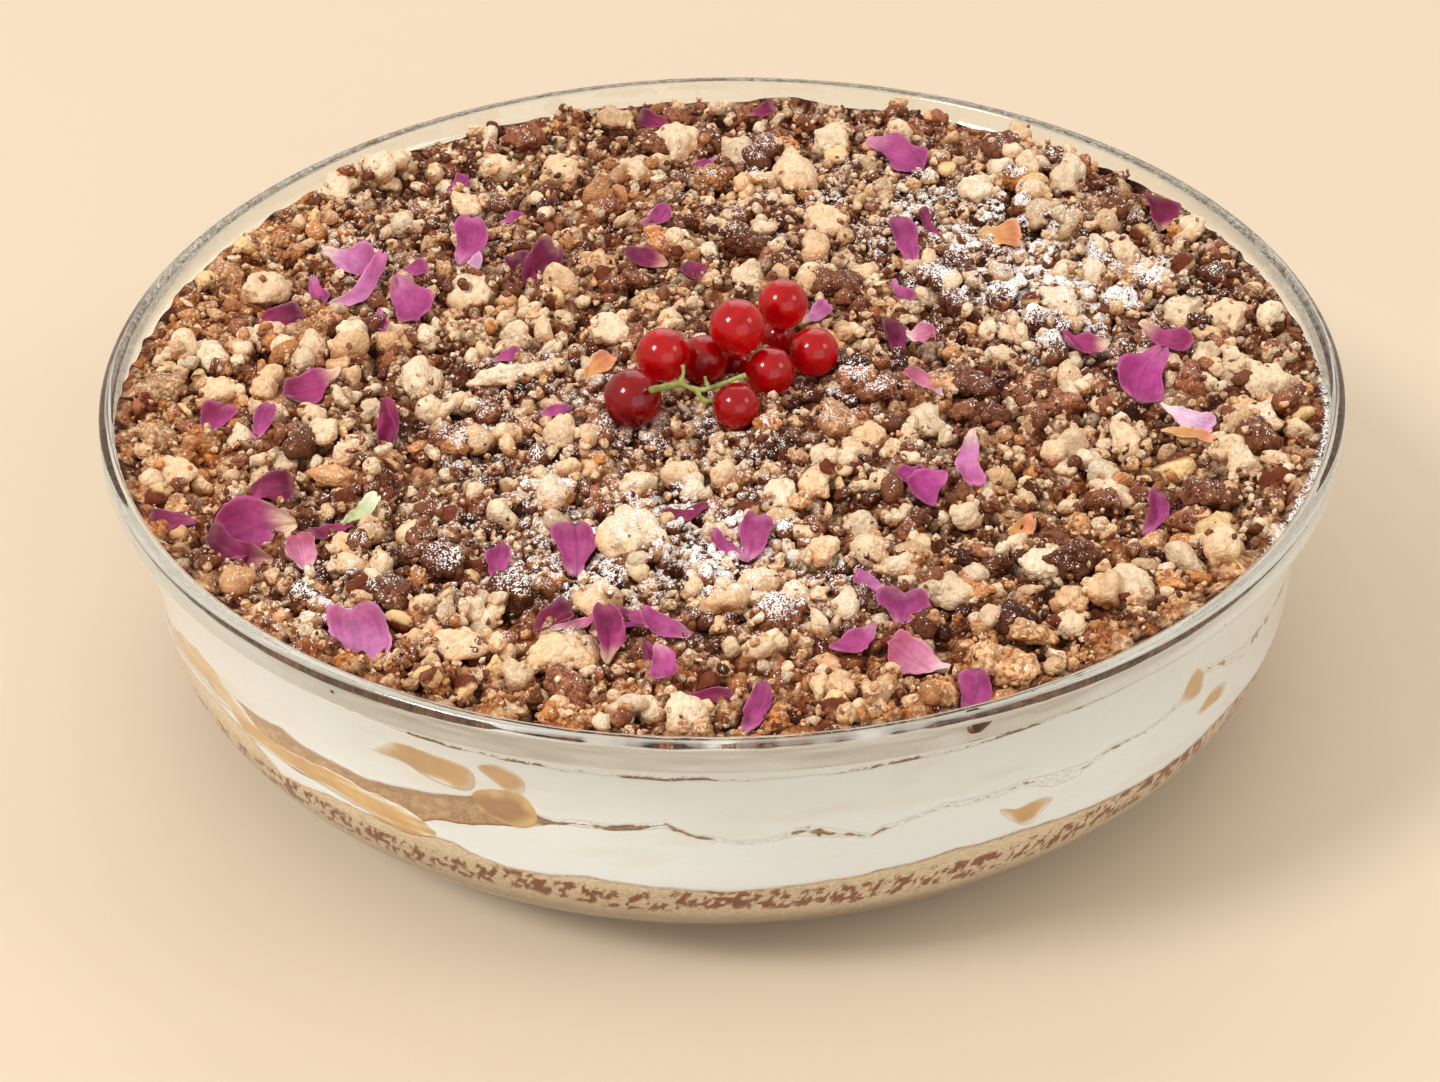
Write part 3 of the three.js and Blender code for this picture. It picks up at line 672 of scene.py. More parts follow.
@dataclass
class WallPoints:
    """Points at the glass: azimuth, height, and share of the way up their layer."""

    azimuth: Array
    height: Array | float = 0.0
    up: Array | float = 0.0
    radius: float = WALL_RADIUS

    def noise(self, size: float, seed: int, across: float = 1.0, upward: float = 1.0) -> Array:
        """Noise that runs on round the bowl, finer across or upwards by a factor."""
        place = around(self.radius, self.height, self.azimuth)
        return lattice_noise(place * (across, across, upward), size, seed)

    def cream(self) -> Array:
        """White cream with faint warm streaks, and stray crumbs beside the middle crumb line.

        Returns:
            Tint of each point.
        """
        streak = self.noise(16.0, 31, upward=3) + 0.4 * self.noise(5.0, 32, upward=3)
        colour = mixed(Tone.CREAM.light, Tone.CREAM_WARM.light, 0.3 * smooth_step(streak, 0.1, 1.1))
        away = np.abs(self.height - CREAM_LOWER_TOP.height(self.azimuth) - 0.6)
        stray = smooth_step(self.noise(1.6, 33, upward=1.5), 0.3, 0.8)
        front = smooth_step(turn_signed(self.azimuth), -20, -14)
        return with_sugar(colour, 0.5 * stray * np.exp(-(away / 1.5) ** 2) * front)

    def middle(self) -> Array:
        """Thin broken line of brown crumbs at the front, caramel crumb in a pocket on the left.

        Returns:
            Tint of each point.
        """
        broken = self.noise(4.0, 51, 0.6, 0.3) + 0.7 * self.noise(1.6, 52)
        fine = self.noise(0.9, 53)
        outward = np.abs(2 * self.up - 1)
        thin = 1 - outward
        amount = smooth_step(broken + 0.8 * fine + 1.3 * (thin - 0.45), -0.05, 0.75)
        line = mixed(Tone.CREAM.light, Tone.POCKET.light, smooth_step(amount, 0.35, 0.8))
        pocket = mixed(Tone.POCKET.light, Tone.TAN.light, 0.4 + 0.6 * fine)
        top = smooth_step(self.up + 0.12 * fine, 0.85, 1.0)
        crust = top + 0.5 * smooth_step(-self.up + 0.1 * fine, -0.15, 0.0)
        pocket = mixed(pocket, Tone.GREY_BROWN.light, 0.6 * crust)
        signed = turn_signed(self.azimuth)
        left = smooth_step(-signed, 16, 19) * smooth_step(signed, -95, -75)
        dark = amount * (0.45 + 0.55 * smooth_step(outward + 0.3 * fine, 0.3, 0.8))
        cover = dark * (1 - left) + left * (0.14 + 0.2 * broken + 0.16 * crust)
        return with_sugar(mixed(line, pocket, left), cover)

    def base(self) -> Array:
        """Reddish crumb flecks in a band on a pale ground, over a tan base that darkens downwards
        as painted shade.

        Returns:
            Tint of each point.
        """
        flecks = 0.7 * self.noise(1.6, 61, upward=2.4) + self.noise(0.75, 62, upward=1.4)
        drift = 0.8 * self.noise(18.0, 63)
        band = (smooth_step(self.height, 18.2 + drift, 20.4 + drift)
                * smooth_step(-self.height, -25.0 - drift, -23.6 - drift))
        # Painted shade: the ground darkens from the pale base colour to a darker tan towards the
        # bottom.
        low = smooth_step(self.height, 15.5, 20.0)
        ground = mixed(Tone.BASE_LOW.light, Tone.BASE.light, low)
        ground = mixed(ground, Tone.CREAM_WARM.light, 0.6 * smooth_step(flecks, 0.0, 1.0) * low)
        edge = smooth_step(self.up, 0.965, 0.99)
        ground = mixed(ground, Tone.POCKET.light, 0.7 * edge)
        cover = 0.08 + 0.95 * band * smooth_step(flecks, -0.35, 0.45) + 0.3 * edge
        return with_sugar(ground, cover)


@dataclass
class LayerEdge:
    """Height of a boundary between layers at the glass, and its calmer inside."""

    mean: float
    places: Array
    wobble: float = 0.3
    seed: int = 1
    back_wave: float = 0.7
    waves: int = 5
    fade: float = 14.0

    def height(self, azimuth: Array) -> Array:
        """Straight runs between its places, a gentle wave at the back, and a fine wobble.

        Args:
            azimuth: in degrees.
        Returns:
            Heights.
        """
        back = self.mean + self.back_wave * np.sin(self.waves * np.radians(azimuth))
        angles, heights = self.places.T
        signed = turn_signed(azimuth)
        front = np.interp(signed, angles, heights)
        beyond = np.maximum(angles[0] - signed, signed - angles[-1])
        edge = WallPoints(azimuth, radius=EDGE_RADIUS)
        fine = edge.noise(5.0, self.seed) + 0.6 * edge.noise(1.8, self.seed + 1)
        return front + (back - front) * smooth_step(beyond, 0, self.fade) + self.wobble * fine


BASE_TOP = LayerEdge(25.8, rows(
    "-70 27; -65.5 28.4; -60 29.6; -53 29; -50 27; -47.5 24.4; -41 26.8; -36.6 27; -28.6 27.6;"
    "-26.4 28; -24.7 26.4; -20.8 25; -16 25.4; -13 26.2; -7 25; 1 24.7; 6.6 25; 12.8 26.3; 18 26.8;"
    "21 27.6; 27.7 27; 36.7 25.6; 44.5 24.4; 48.6 23.8; 53 24.4; 58 25.1; 64 24.2"), seed=3)
CREAM_LOWER_TOP = LayerEdge(36, rows(
    "-70 30; -64 31.5; -58 32; -51 29.5; -45 28.4; -39 29.6; -32 27.9; -28 32.5; -24 33.9;"
    "-22 35.2; -19 36.3; -16 38; -13 38.6; -10 38.8; -7 39.6; -5.7 39.8; -3.2 37.6; -1 37;"
    "1.1 36.2; 3 36.4; 6 38; 9 36.6; 12.7 34.8; 15 36.6; 19.5 38.2; 25 37.6; 27.8 38; 30.7 35.2;"
    "33.7 35; 36 37; 39.8 37.6; 42.3 36.8; 47 38.4; 51 41.4; 58 36"), seed=5)
CRUMB_MIDDLE_TOP = LayerEdge(37.8, rows(
    "-70 32; -64 36.4; -58 37.6; -54 35.6; -50 36; -46.4 37.3; -43 36.2; -38 36.1; -35 36;"
    "-32 37.4; -27 39; -24 40.8; -21 42.6; -19 41; -15.5 38.8; -14.2 39.8; -10 39.8; -7 40.8;"
    "-5.7 41.8; -4.6 40.4; -3.2 38.7; -1 38; 1.1 36.9; 3 37.1; 4.5 38; 7 39.7; 9 38.2; 12.7 35.6;"
    "13.8 37.1; 17.7 38.5; 19.5 39.6; 25 38.8; 27.8 39.8; 30.6 38.6; 35.4 37.4; 37.5 39; 42.3 37.9;"
    "45.2 38.3; 48.2 41; 51 43; 58 38.6"), seed=7)
CREAM_TOP = LayerEdge(51, rows(
    "-64 51.8; -32 51.6; 0 51.5; 32 51.7; 64 51.8"), seed=9)


@dataclass
class Layer:
    """One layer that runs through the food and shows at the glass."""

    bowl: GlassBowl
    name: str
    node: str
    slot: str
    lower: LayerEdge | None
    upper: LayerEdge
    reach: float
    tint: Callable[[WallPoints], Array]
    finish: GrainFinish
    side_rows: int = 24
    corners: int = 1080
    inside: tuple[float, ...] = (0.9, 0.5)

    def build(self) -> None:
        """Rings from the middle out to the glass, up its wall and back to the middle."""
        azimuth = np.arange(self.corners) * 360 / self.corners
        share = np.linspace(0, 1, self.side_rows)[:, None]
        if self.lower:
            low, low_mean = self.lower.height(azimuth), self.lower.mean
        else:
            low, low_mean = np.full(self.corners, self.bowl.floor), self.bowl.floor
            share = 1 - np.cos(share * math.pi / 2)
        high, high_mean = self.upper.height(azimuth), self.upper.mean
        height = low + share * (high - low)
        side = around(self.bowl.inner_radius(height) + self.reach, height, azimuth)
        bottom = [self.inner(side[0], low, low_mean, part) for part in self.inside[::-1]]
        top = [self.inner(side[-1], high, high_mean, part) for part in self.inside]
        rings = np.concatenate([np.array(bottom), side, np.array(top)])
        body = ring_body(rings, np.array([0, 0, low_mean]), np.array([0, 0, high_mean]))
        up = np.concatenate([np.zeros(len(bottom)), share.ravel(), np.ones(len(top))])
        turn, up = (np.broadcast_to(value, rings.shape[:2]) for value in (azimuth, up[:, None]))
        tint = self.tint(WallPoints(turn, rings[..., 2], up))
        new_piece(self.name, body, self.finish.build(), (self.node,), capped(tint))

    @staticmethod
    def inner(ring: Array, edge: Array, mean: float, part: float) -> Array:
        """Ring drawn in to a part of its width, its height flattened towards the mean."""
        return ring * (part, part, 0) + (0, 0, 1) * (mean + (edge - mean) * part ** 3)[:, None]


@dataclass
class CreamFilm:
    """Thin film of cream up the inside of the glass, with a line of crumbs along its foot."""

    bowl: GlassBowl
    top: float = 61.7
    side_drop: float = 1.7
    back_drop: float = 3.0
    reach: float = 0.24
    depth: float = 0.3
    side_rows: int = 26
    corners: int = 900
    line: float = 1.1
    shade_turn: float = 96.0

    def build(self) -> None:
        """Closed ring: up the glass, round its thin top edge and down its inner side."""
        azimuth = np.arange(self.corners) * 360 / self.corners
        low = CREAM_TOP.height(azimuth)
        away = np.abs(turn_signed(azimuth))
        drop = self.side_drop * smooth_step(away, 12, 42)
        high = self.top - drop - self.back_drop * smooth_step(away, 60, 100)
        high = high + 0.15 * WallPoints(azimuth).noise(3.0, 34)
        share = np.linspace(0, 1, self.side_rows)[:, None]
        height = low + share * (high - low)
        glass = self.bowl.inner_radius(height)
        outer = around(glass + self.reach, height, azimuth)
        inner = around(glass - self.depth * (1 - share ** 4), height, azimuth)
        rings = np.concatenate([outer, inner[::-1]])
        number = np.arange(rings[..., 0].size).reshape(rings.shape[:2])
        after, below = np.roll(number, -1, axis=1), np.roll(number, -1, axis=0)
        faces = np.stack([number, after, np.roll(below, -1, axis=1), below], -1).reshape(-1, 4)
        turn = np.broadcast_to(azimuth, rings.shape[:2])
        tint = self.tint(WallPoints(turn, rings[..., 2]), rings[..., 2] - low)
        finish = GrainFinish("cream_film", Tone.CRUMB_DARK, grains=1500, contrast=0.04, specks=0.0,
                             bump=0.1, roughness=0.5, flatten=2.2)
        new_piece("cream_film", (rings.reshape(-1, 3), [faces]), finish.build(),
                  ("crumble_top",), tint.reshape(-1, 4))

    def tint(self, wall: WallPoints, over: Array) -> Array:
        """Cloudy cream, with painted shade where it lies behind the glass collar, and crumbs at its
        foot and on the right.

        Args:
            wall: the film's points.
            over: their heights over its foot.
        Returns:
            Tint of each point.
        """
        signed = turn_signed(wall.azimuth)
        crumbs = wall.noise(2.6, 37, 0.5, 0.4) + 0.6 * wall.noise(1.0, 38)
        amount = smooth_step(-over, -self.line, -0.2) * smooth_step(crumbs, -0.7, 0.5)
        right = np.exp(-((signed - self.shade_turn) / 60) ** 2)
        amount = amount + 0.4 * right * smooth_step(crumbs, 0.1, 0.9)
        cloud = 0.5 + 0.6 * wall.noise(1.6, 39, 0.12, 2.0)
        colour = mixed(Tone.HAZE.light, Tone.CREAM.light, cloud)
        # Painted shade: the cream turns grey and streaky behind the glass collar, at the front.
        collar_shade = 0.8 * smooth_step(wall.height, 53.4, 55.2) * smooth_step(-np.abs(signed), -55, -25)
        collar_shade = collar_shade * (0.75 + 0.5 * wall.noise(1.5, 40, 0.2, 1.6))
        return with_sugar(mixed(colour, Tone.COLLAR.light, collar_shade), np.clip(amount, 0, 1))


# ---------- caramel ----------

@dataclass
class Caramel:
    """Caramel against the glass: a band, four smears, and two thin traces without a solid."""

    bowl: GlassBowl
    finish: TintedFinish = TintedFinish(
        "soft_caramel", roughness=0.35, grain=400, contrast=0.08, bump=0.05)
    band: str = (
        "-71.5 28 31; -68 29.4 33.6; -65 31 36; -60 32.2 37.6; -55 31.4 36.2; -52 29.4 33.2;"
        "-50 28.6 31.6; -45 29.2 32.2; -40 30 33.1; -35 27.9 32.6; -31 27 31.7; -28 27.2 30.4")
    smears: tuple[str, ...] = (
        "-34 44.2; -31 48.4; -27.5 48; -24 47.5; -23.9 43.3; -25.5 42; -28.6 43.1; -30.2 44.9",
        "-23 48.7; -20.3 49.8; -18.7 48; -18.6 45.1; -20.1 44.6; -21.5 46.5",
        "-23.3 42; -21.3 43.7; -18.9 44; -17.8 40; -18.1 37.4; -19.6 36.1; -21.8 37.3; -23.2 38.9",
        "25.6 34.6; 27.2 32.6; 29.4 33.7; 31.1 32.4; 29.8 30.1; 28.5 27.9; 26.1 32.2")
    traces: tuple[str, ...] = (
        "47.7 41.6; 49 44.8; 50.5 41.3; 50.2 37.3; 47.1 38.6",
        "50.5 32; 51 33.9; 53.2 35.5; 55.8 33.1; 54.7 31.1; 52.2 31.2")
    dark_smear: int = 3
    smear_depth: float = 2.0
    trace_depth: float = 0.8
    growth: float = 1.22
    ring_shares: tuple[float, ...] = (0.04, 0.3, 0.5, 0.66, 0.78, 0.88, 0.95, 1.0)
    band_growth: float = 1.35
    band_depth: float = 2.4
    band_rings: int = 160
    band_across: int = 17

    def build(self) -> None:
        """Band, smears and traces."""
        self.ribbon()
        for number, outline in enumerate(self.smears, 1):
            tone = Tone.CARAMEL_DARK if number == self.dark_smear else Tone.CARAMEL
            self.smear(f"caramel_smear_{number}", outline, self.smear_depth, tone,
                       (f"caramel_patch_{number}",))
        for number, outline in enumerate(self.traces, 1):
            self.smear(f"caramel_trace_{number}", outline, self.trace_depth, Tone.CARAMEL, ())

    def ribbon(self) -> None:
        """Band: each ring goes up its side at the glass and down its bulging inner side."""
        turns, lows, highs = rounded(rows(self.band), 3).T
        run = np.linspace(-0.998, 0.998, self.band_rings)
        azimuth = turns[0] + (run + 1) / 2 * (turns[-1] - turns[0])
        low, high = np.interp(azimuth, turns, lows), np.interp(azimuth, turns, highs)
        wall = WallPoints(azimuth)
        half = (high - low) / 2 * self.band_growth * (1 - run ** 10) ** 0.5
        half = half * (1 + 0.22 * wall.noise(4.0, 73) + 0.1 * wall.noise(1.6, 76))
        across = np.linspace(-1, 1, self.band_across)
        loop = np.concatenate([across, across[::-1]])
        heights = ((low + high) / 2)[:, None] + half[:, None] * loop
        at_glass = np.full(self.band_across, -CARAMEL_REACH)
        depth = np.concatenate([at_glass, self.band_depth * (1 - across ** 2)])
        rings = around(self.bowl.inner_radius(heights) - depth, heights, azimuth[:, None])
        body = ring_body(rings, rings[0].mean(axis=0), rings[-1].mean(axis=0))
        streak = lattice_noise(body[0] * (0.3, 0.3, 2.0), 1.8, 77)
        cloud = lattice_noise(body[0] * (0.5, 0.5, 1.4), 4.0, 74) + 0.6 * streak
        out = np.concatenate([[1.0], np.tile(np.abs(loop), self.band_rings), [1.0]])
        colour = mixed(Tone.CARAMEL.light, Tone.CARAMEL_LIGHT.light, 0.4 + 0.8 * cloud)
        pale = smooth_step(out + 0.45 * streak, 0.6, 1.15) + 0.25 * smooth_step(streak, 0.2, 0.8)
        colour = mixed(colour, Tone.CREAM.light, 0.8 * pale)
        new_piece("caramel_band_soft", body, self.finish.build(), ("caramel_band",),
                  with_sugar(held(colour)))

    def smear(self, name: str, outline: str, depth: float, tone: Tone,
              nodes: tuple[str, ...]) -> None:
        """Closed pad against the glass: rings shrink from its rounded outline to its middle.

        Args:
            name: the piece's name.
            outline: azimuths and heights of its corners.
            depth: its thickness inwards.
            tone: its colour.
            nodes: the nodes that it stands for.
        """
        loop = rounded(rows(outline), 3, closed=True)
        middle = loop.mean(axis=0)
        loop = middle + (loop - middle) * self.growth
        shares = np.array([*self.ring_shares, *self.ring_shares[::-1]])
        flat = middle + (loop - middle) * shares[:, None, None]
        side = len(self.ring_shares) - 1
        inset = np.array([*[-CARAMEL_REACH] * side, 0.15, 0.4, *[depth] * side])
        radius = self.bowl.inner_radius(flat[..., 1]) - inset[:, None]
        rings = around(radius, flat[..., 1], flat[..., 0])
        body = ring_body(rings, rings[0].mean(axis=0), rings[-1].mean(axis=0))
        cloud = lattice_noise(body[0] * (1, 1, 2), 5.0, 71) + 0.5 * lattice_noise(body[0], 1.8, 72)
        colour = tone.light * (1 + 0.12 * cloud)[:, None]
        out = np.concatenate([[0.0], np.repeat(shares, len(loop)), [0.0]])
        rim = Tone.CARAMEL_LIGHT if tone is Tone.CARAMEL_DARK else Tone.CREAM
        colour = mixed(colour, rim.light, 0.85 * smooth_step(out + 0.3 * cloud, 0.55, 1.1))
        new_piece(name, body, self.finish.build(), nodes, with_sugar(held(colour)))


# ---------- berries and stem ----------

# Middle and radius of each berry.
BERRIES = rows(
    "12.3 10.9 71 4.9; 3.2 -2.7 74.2 5.4; -11.1 -6.2 70.4 5.2; -16.9 -15.2 66.4 5.65;"
    "-3.3 -1 66 4.7; 18.1 1.3 65.8 4.8; 9.4 -5.2 65.6 4.8; 2.7 -17 65.4 4.5; 11.3 12.6 62.4 3.5;"
    "3.1 3.4 62.3 3.5")


@dataclass
class Currants:
    """Red currants with their dried tips, and the stem that they hang on."""

    rings: int = 40
    corners: int = 72
    dimple: float = 0.03
    veins: int = 12
    flesh: Colour = (220, 6, 14)
    vein: Colour = (152, 4, 10)
    bruise: Colour = (104, 8, 20)
    bruised: tuple[float, ...] = (0, 0, 0, 0.55, 0.2, 0.05, 0.08, 0.2, 0.25, 0.25)
    tip_size: float = 0.13
    tip_seed: int = 5
    stalk: Colour = (164, 170, 92)
    stalk_dark: Colour = (112, 112, 52)
    stalk_corners: int = 14
    stem_middle: Triple = (-3.0, -13.0, 69.0)
    stalks: tuple[tuple[float, str], ...] = (
        (0.66, "-13.3 -19.9 71.2; -10 -16.1 69.6; -7.9 -14.5 69.1; -4.7 -15.5 68.1;"
         "-2.4 -15.8 68.5; 2 -16.1 70.8; 4.5 -14.9 70.9"),
        (0.5, "-7.9 -14.5 69.1; -7.1 -12.8 70.3; -7.3 -11.5 71.2"),
        (0.6, "-4.7 -15.5 68.1; -3.6 -18.2 67.3; -1.8 -19.2 68.2"),
        (0.45, "-2.4 -15.8 68.5; -3 -13 68.6; -3.1 -11.8 68.6"))

    def build(self) -> None:
        """Berries, dried tips and stem."""
        skin = BerryFinish().build()
        self.dried_tips([self.berry(number, skin) for number in range(len(BERRIES))])
        self.stem()

    def berry(self, number: int, skin: Material) -> tuple[Array, Array, float]:
        """Sphere about its axis, drawn in a little at both ends, some of them bruised.

        Args:
            number: which berry.
            skin: its material.
        Returns:
            Place and direction of its dried tip, and its radius.
        """
        centre, radius = BERRIES[number, :3], BERRIES[number, 3]
        axis = unit(centre - self.stem_middle)
        polar = np.linspace(0, math.pi, self.rings + 2)[1:-1, None]
        turn = np.linspace(0, 2 * math.pi, self.corners, endpoint=False)[None, :]
        side = unit(np.cross(axis, (0.0, 0.0, 1.0)))
        other = np.cross(axis, side)
        size = radius * (1 - self.dimple * np.abs(np.cos(polar)) ** 12)
        along = (size * np.cos(polar) * np.ones_like(turn))[..., None] * axis
        out = (size * np.sin(polar))[..., None] * (
            np.cos(turn)[..., None] * side + np.sin(turn)[..., None] * other)
        end = radius * (1 - self.dimple)
        body = ring_body(centre + along + out, centre + axis * end, centre - axis * end)
        veins = np.abs(np.cos(self.veins / 2 * turn)) ** 3 * np.sin(polar)
        shade = 0.3 * veins + 0.6 * smooth_step(-np.cos(polar), 0.75, 1.0) * np.ones_like(turn)
        vein = linear(self.vein)
        colour = mixed(linear(self.flesh), vein, shade).reshape(-1, 3)
        colour = np.concatenate([[vein], colour, [vein]])
        cloud = 1 + 0.35 * lattice_noise(body[0], 3.0, 45 + number)
        colour = mixed(colour, linear(self.bruise), self.bruised[number] * cloud)
        label = f"{number + 1:02d}"
        new_piece(f"currant_{label}", body, skin, (f"berry_{label}",),
                  with_sugar(colour))
        return centre + axis * radius * 0.98, axis, radius

    def dried_tips(self, tips: list[tuple[Array, Array, float]]) -> None:
        """Small crumpled brown tufts, one on each berry.

        Args:
            tips: place, direction and berry radius of each.
        """
        rng = np.random.default_rng(self.tip_seed)
        directions, triangles = unit_ball(2)
        tufts = []
        for place, axis, radius in tips:
            size = 0.55 + 0.5 * rng.random(len(directions))
            tuft = directions * size[:, None] * radius * self.tip_size
            lift = np.outer(directions @ axis * radius * 0.12, axis)
            tufts.append((place + tuft + lift, [triangles]))
        body = joined(tufts)
        finish = TintedFinish("dried_tip", roughness=0.8, contrast=0.4).build()
        shade = 0.7 + 0.5 * rng.random((len(body[0]), 1))
        new_piece("currant_tips", body, finish, (),
                  with_sugar(Tone.DRIED_TIP.light * shade))

    def stem(self) -> None:
        """Tubes along the stalks' smooth lines, thicker where they meet."""
        tubes = []
        for radius, points in self.stalks:
            line = rounded(rows(points), 3)
            knots = 0.22 * np.cos(np.linspace(0, 5, len(line))) + 0.3 * lattice_noise(line, 1.3, 47)
            tubes.append(self.tube(line, radius * (0.92 + knots)))
        body = joined(tubes)
        finish = TintedFinish("green_stem", roughness=0.5, grain=1600, contrast=0.25, bump=0.4)
        cloud = lattice_noise(body[0], 1.6, 48) + 0.5 * lattice_noise(body[0], 0.6, 49)
        colour = mixed(linear(self.stalk), linear(self.stalk_dark), 0.35 + 0.6 * cloud)
        new_piece("green_stem", body, finish.build(), ("currant_stem",),
                  with_sugar(colour))

    def tube(self, line: Array, radius: Array) -> Body:
        """Round tube along a line, each ring square to it.

        Args:
            line: (n, 3) points.
            radius: (n,) sizes.
        Returns:
            Vertices and faces.
        """
        along = unit(np.gradient(line, axis=0))
        side = unit(np.cross(along, (0.31, 0.17, 0.93)))
        other = np.cross(along, side)
        turn = np.linspace(0, 2 * math.pi, self.stalk_corners, endpoint=False)[None, :, None]
        ring = np.cos(turn) * side[:, None] + np.sin(turn) * other[:, None]
        return ring_body(line[:, None] + radius[:, None, None] * ring, line[0], line[-1])


def unit_ball(subdivisions: int) -> tuple[Array, Array]:
    """Directions and triangles of a ball split evenly.

    Args:
        subdivisions: 1 gives 20 triangles, each further one four times as many.
    Returns:
        (n, 3) directions and (m, 3) triangles.
    """
    ball, mesh = bmesh.new(), bpy.data.meshes.new("ball")
    bmesh.ops.create_icosphere(ball, subdivisions=subdivisions, radius=1.0)
    ball.to_mesh(mesh)
    ball.free()
    directions = np.empty(3 * len(mesh.vertices), np.float32)
    mesh.vertices.foreach_get("co", directions)
    triangles = np.empty(len(mesh.loops), np.int32)
    mesh.loops.foreach_get("vertex_index", triangles)
    bpy.data.meshes.remove(mesh)
    return directions.reshape(-1, 3).astype(float), triangles.reshape(-1, 3).astype(int)


# ---------- petals ----------

class Bloom(Enum):
    """Petal colours from base to tip."""

    PALE = ((244, 216, 198), (212, 128, 180), (168, 74, 130))
    MID = ((214, 142, 174), (180, 76, 136), (148, 50, 110))
    BASED = ((246, 212, 178), (172, 62, 120), (142, 38, 94))
    DARK = ((168, 70, 110), (144, 44, 90), (104, 24, 58))
    DUSKY = ((224, 176, 150), (146, 44, 90), (108, 26, 60))
    VIVID = ((206, 106, 164), (180, 66, 140), (150, 46, 108))
    PINK = ((244, 216, 206), (220, 140, 170), (190, 90, 128))
    WHITE = ((250, 242, 230), (234, 196, 218), (214, 152, 196))
    AMBER = ((238, 196, 134), (230, 164, 104), (210, 134, 98))
    GREEN = ((208, 214, 168), (198, 208, 158), (216, 218, 184))


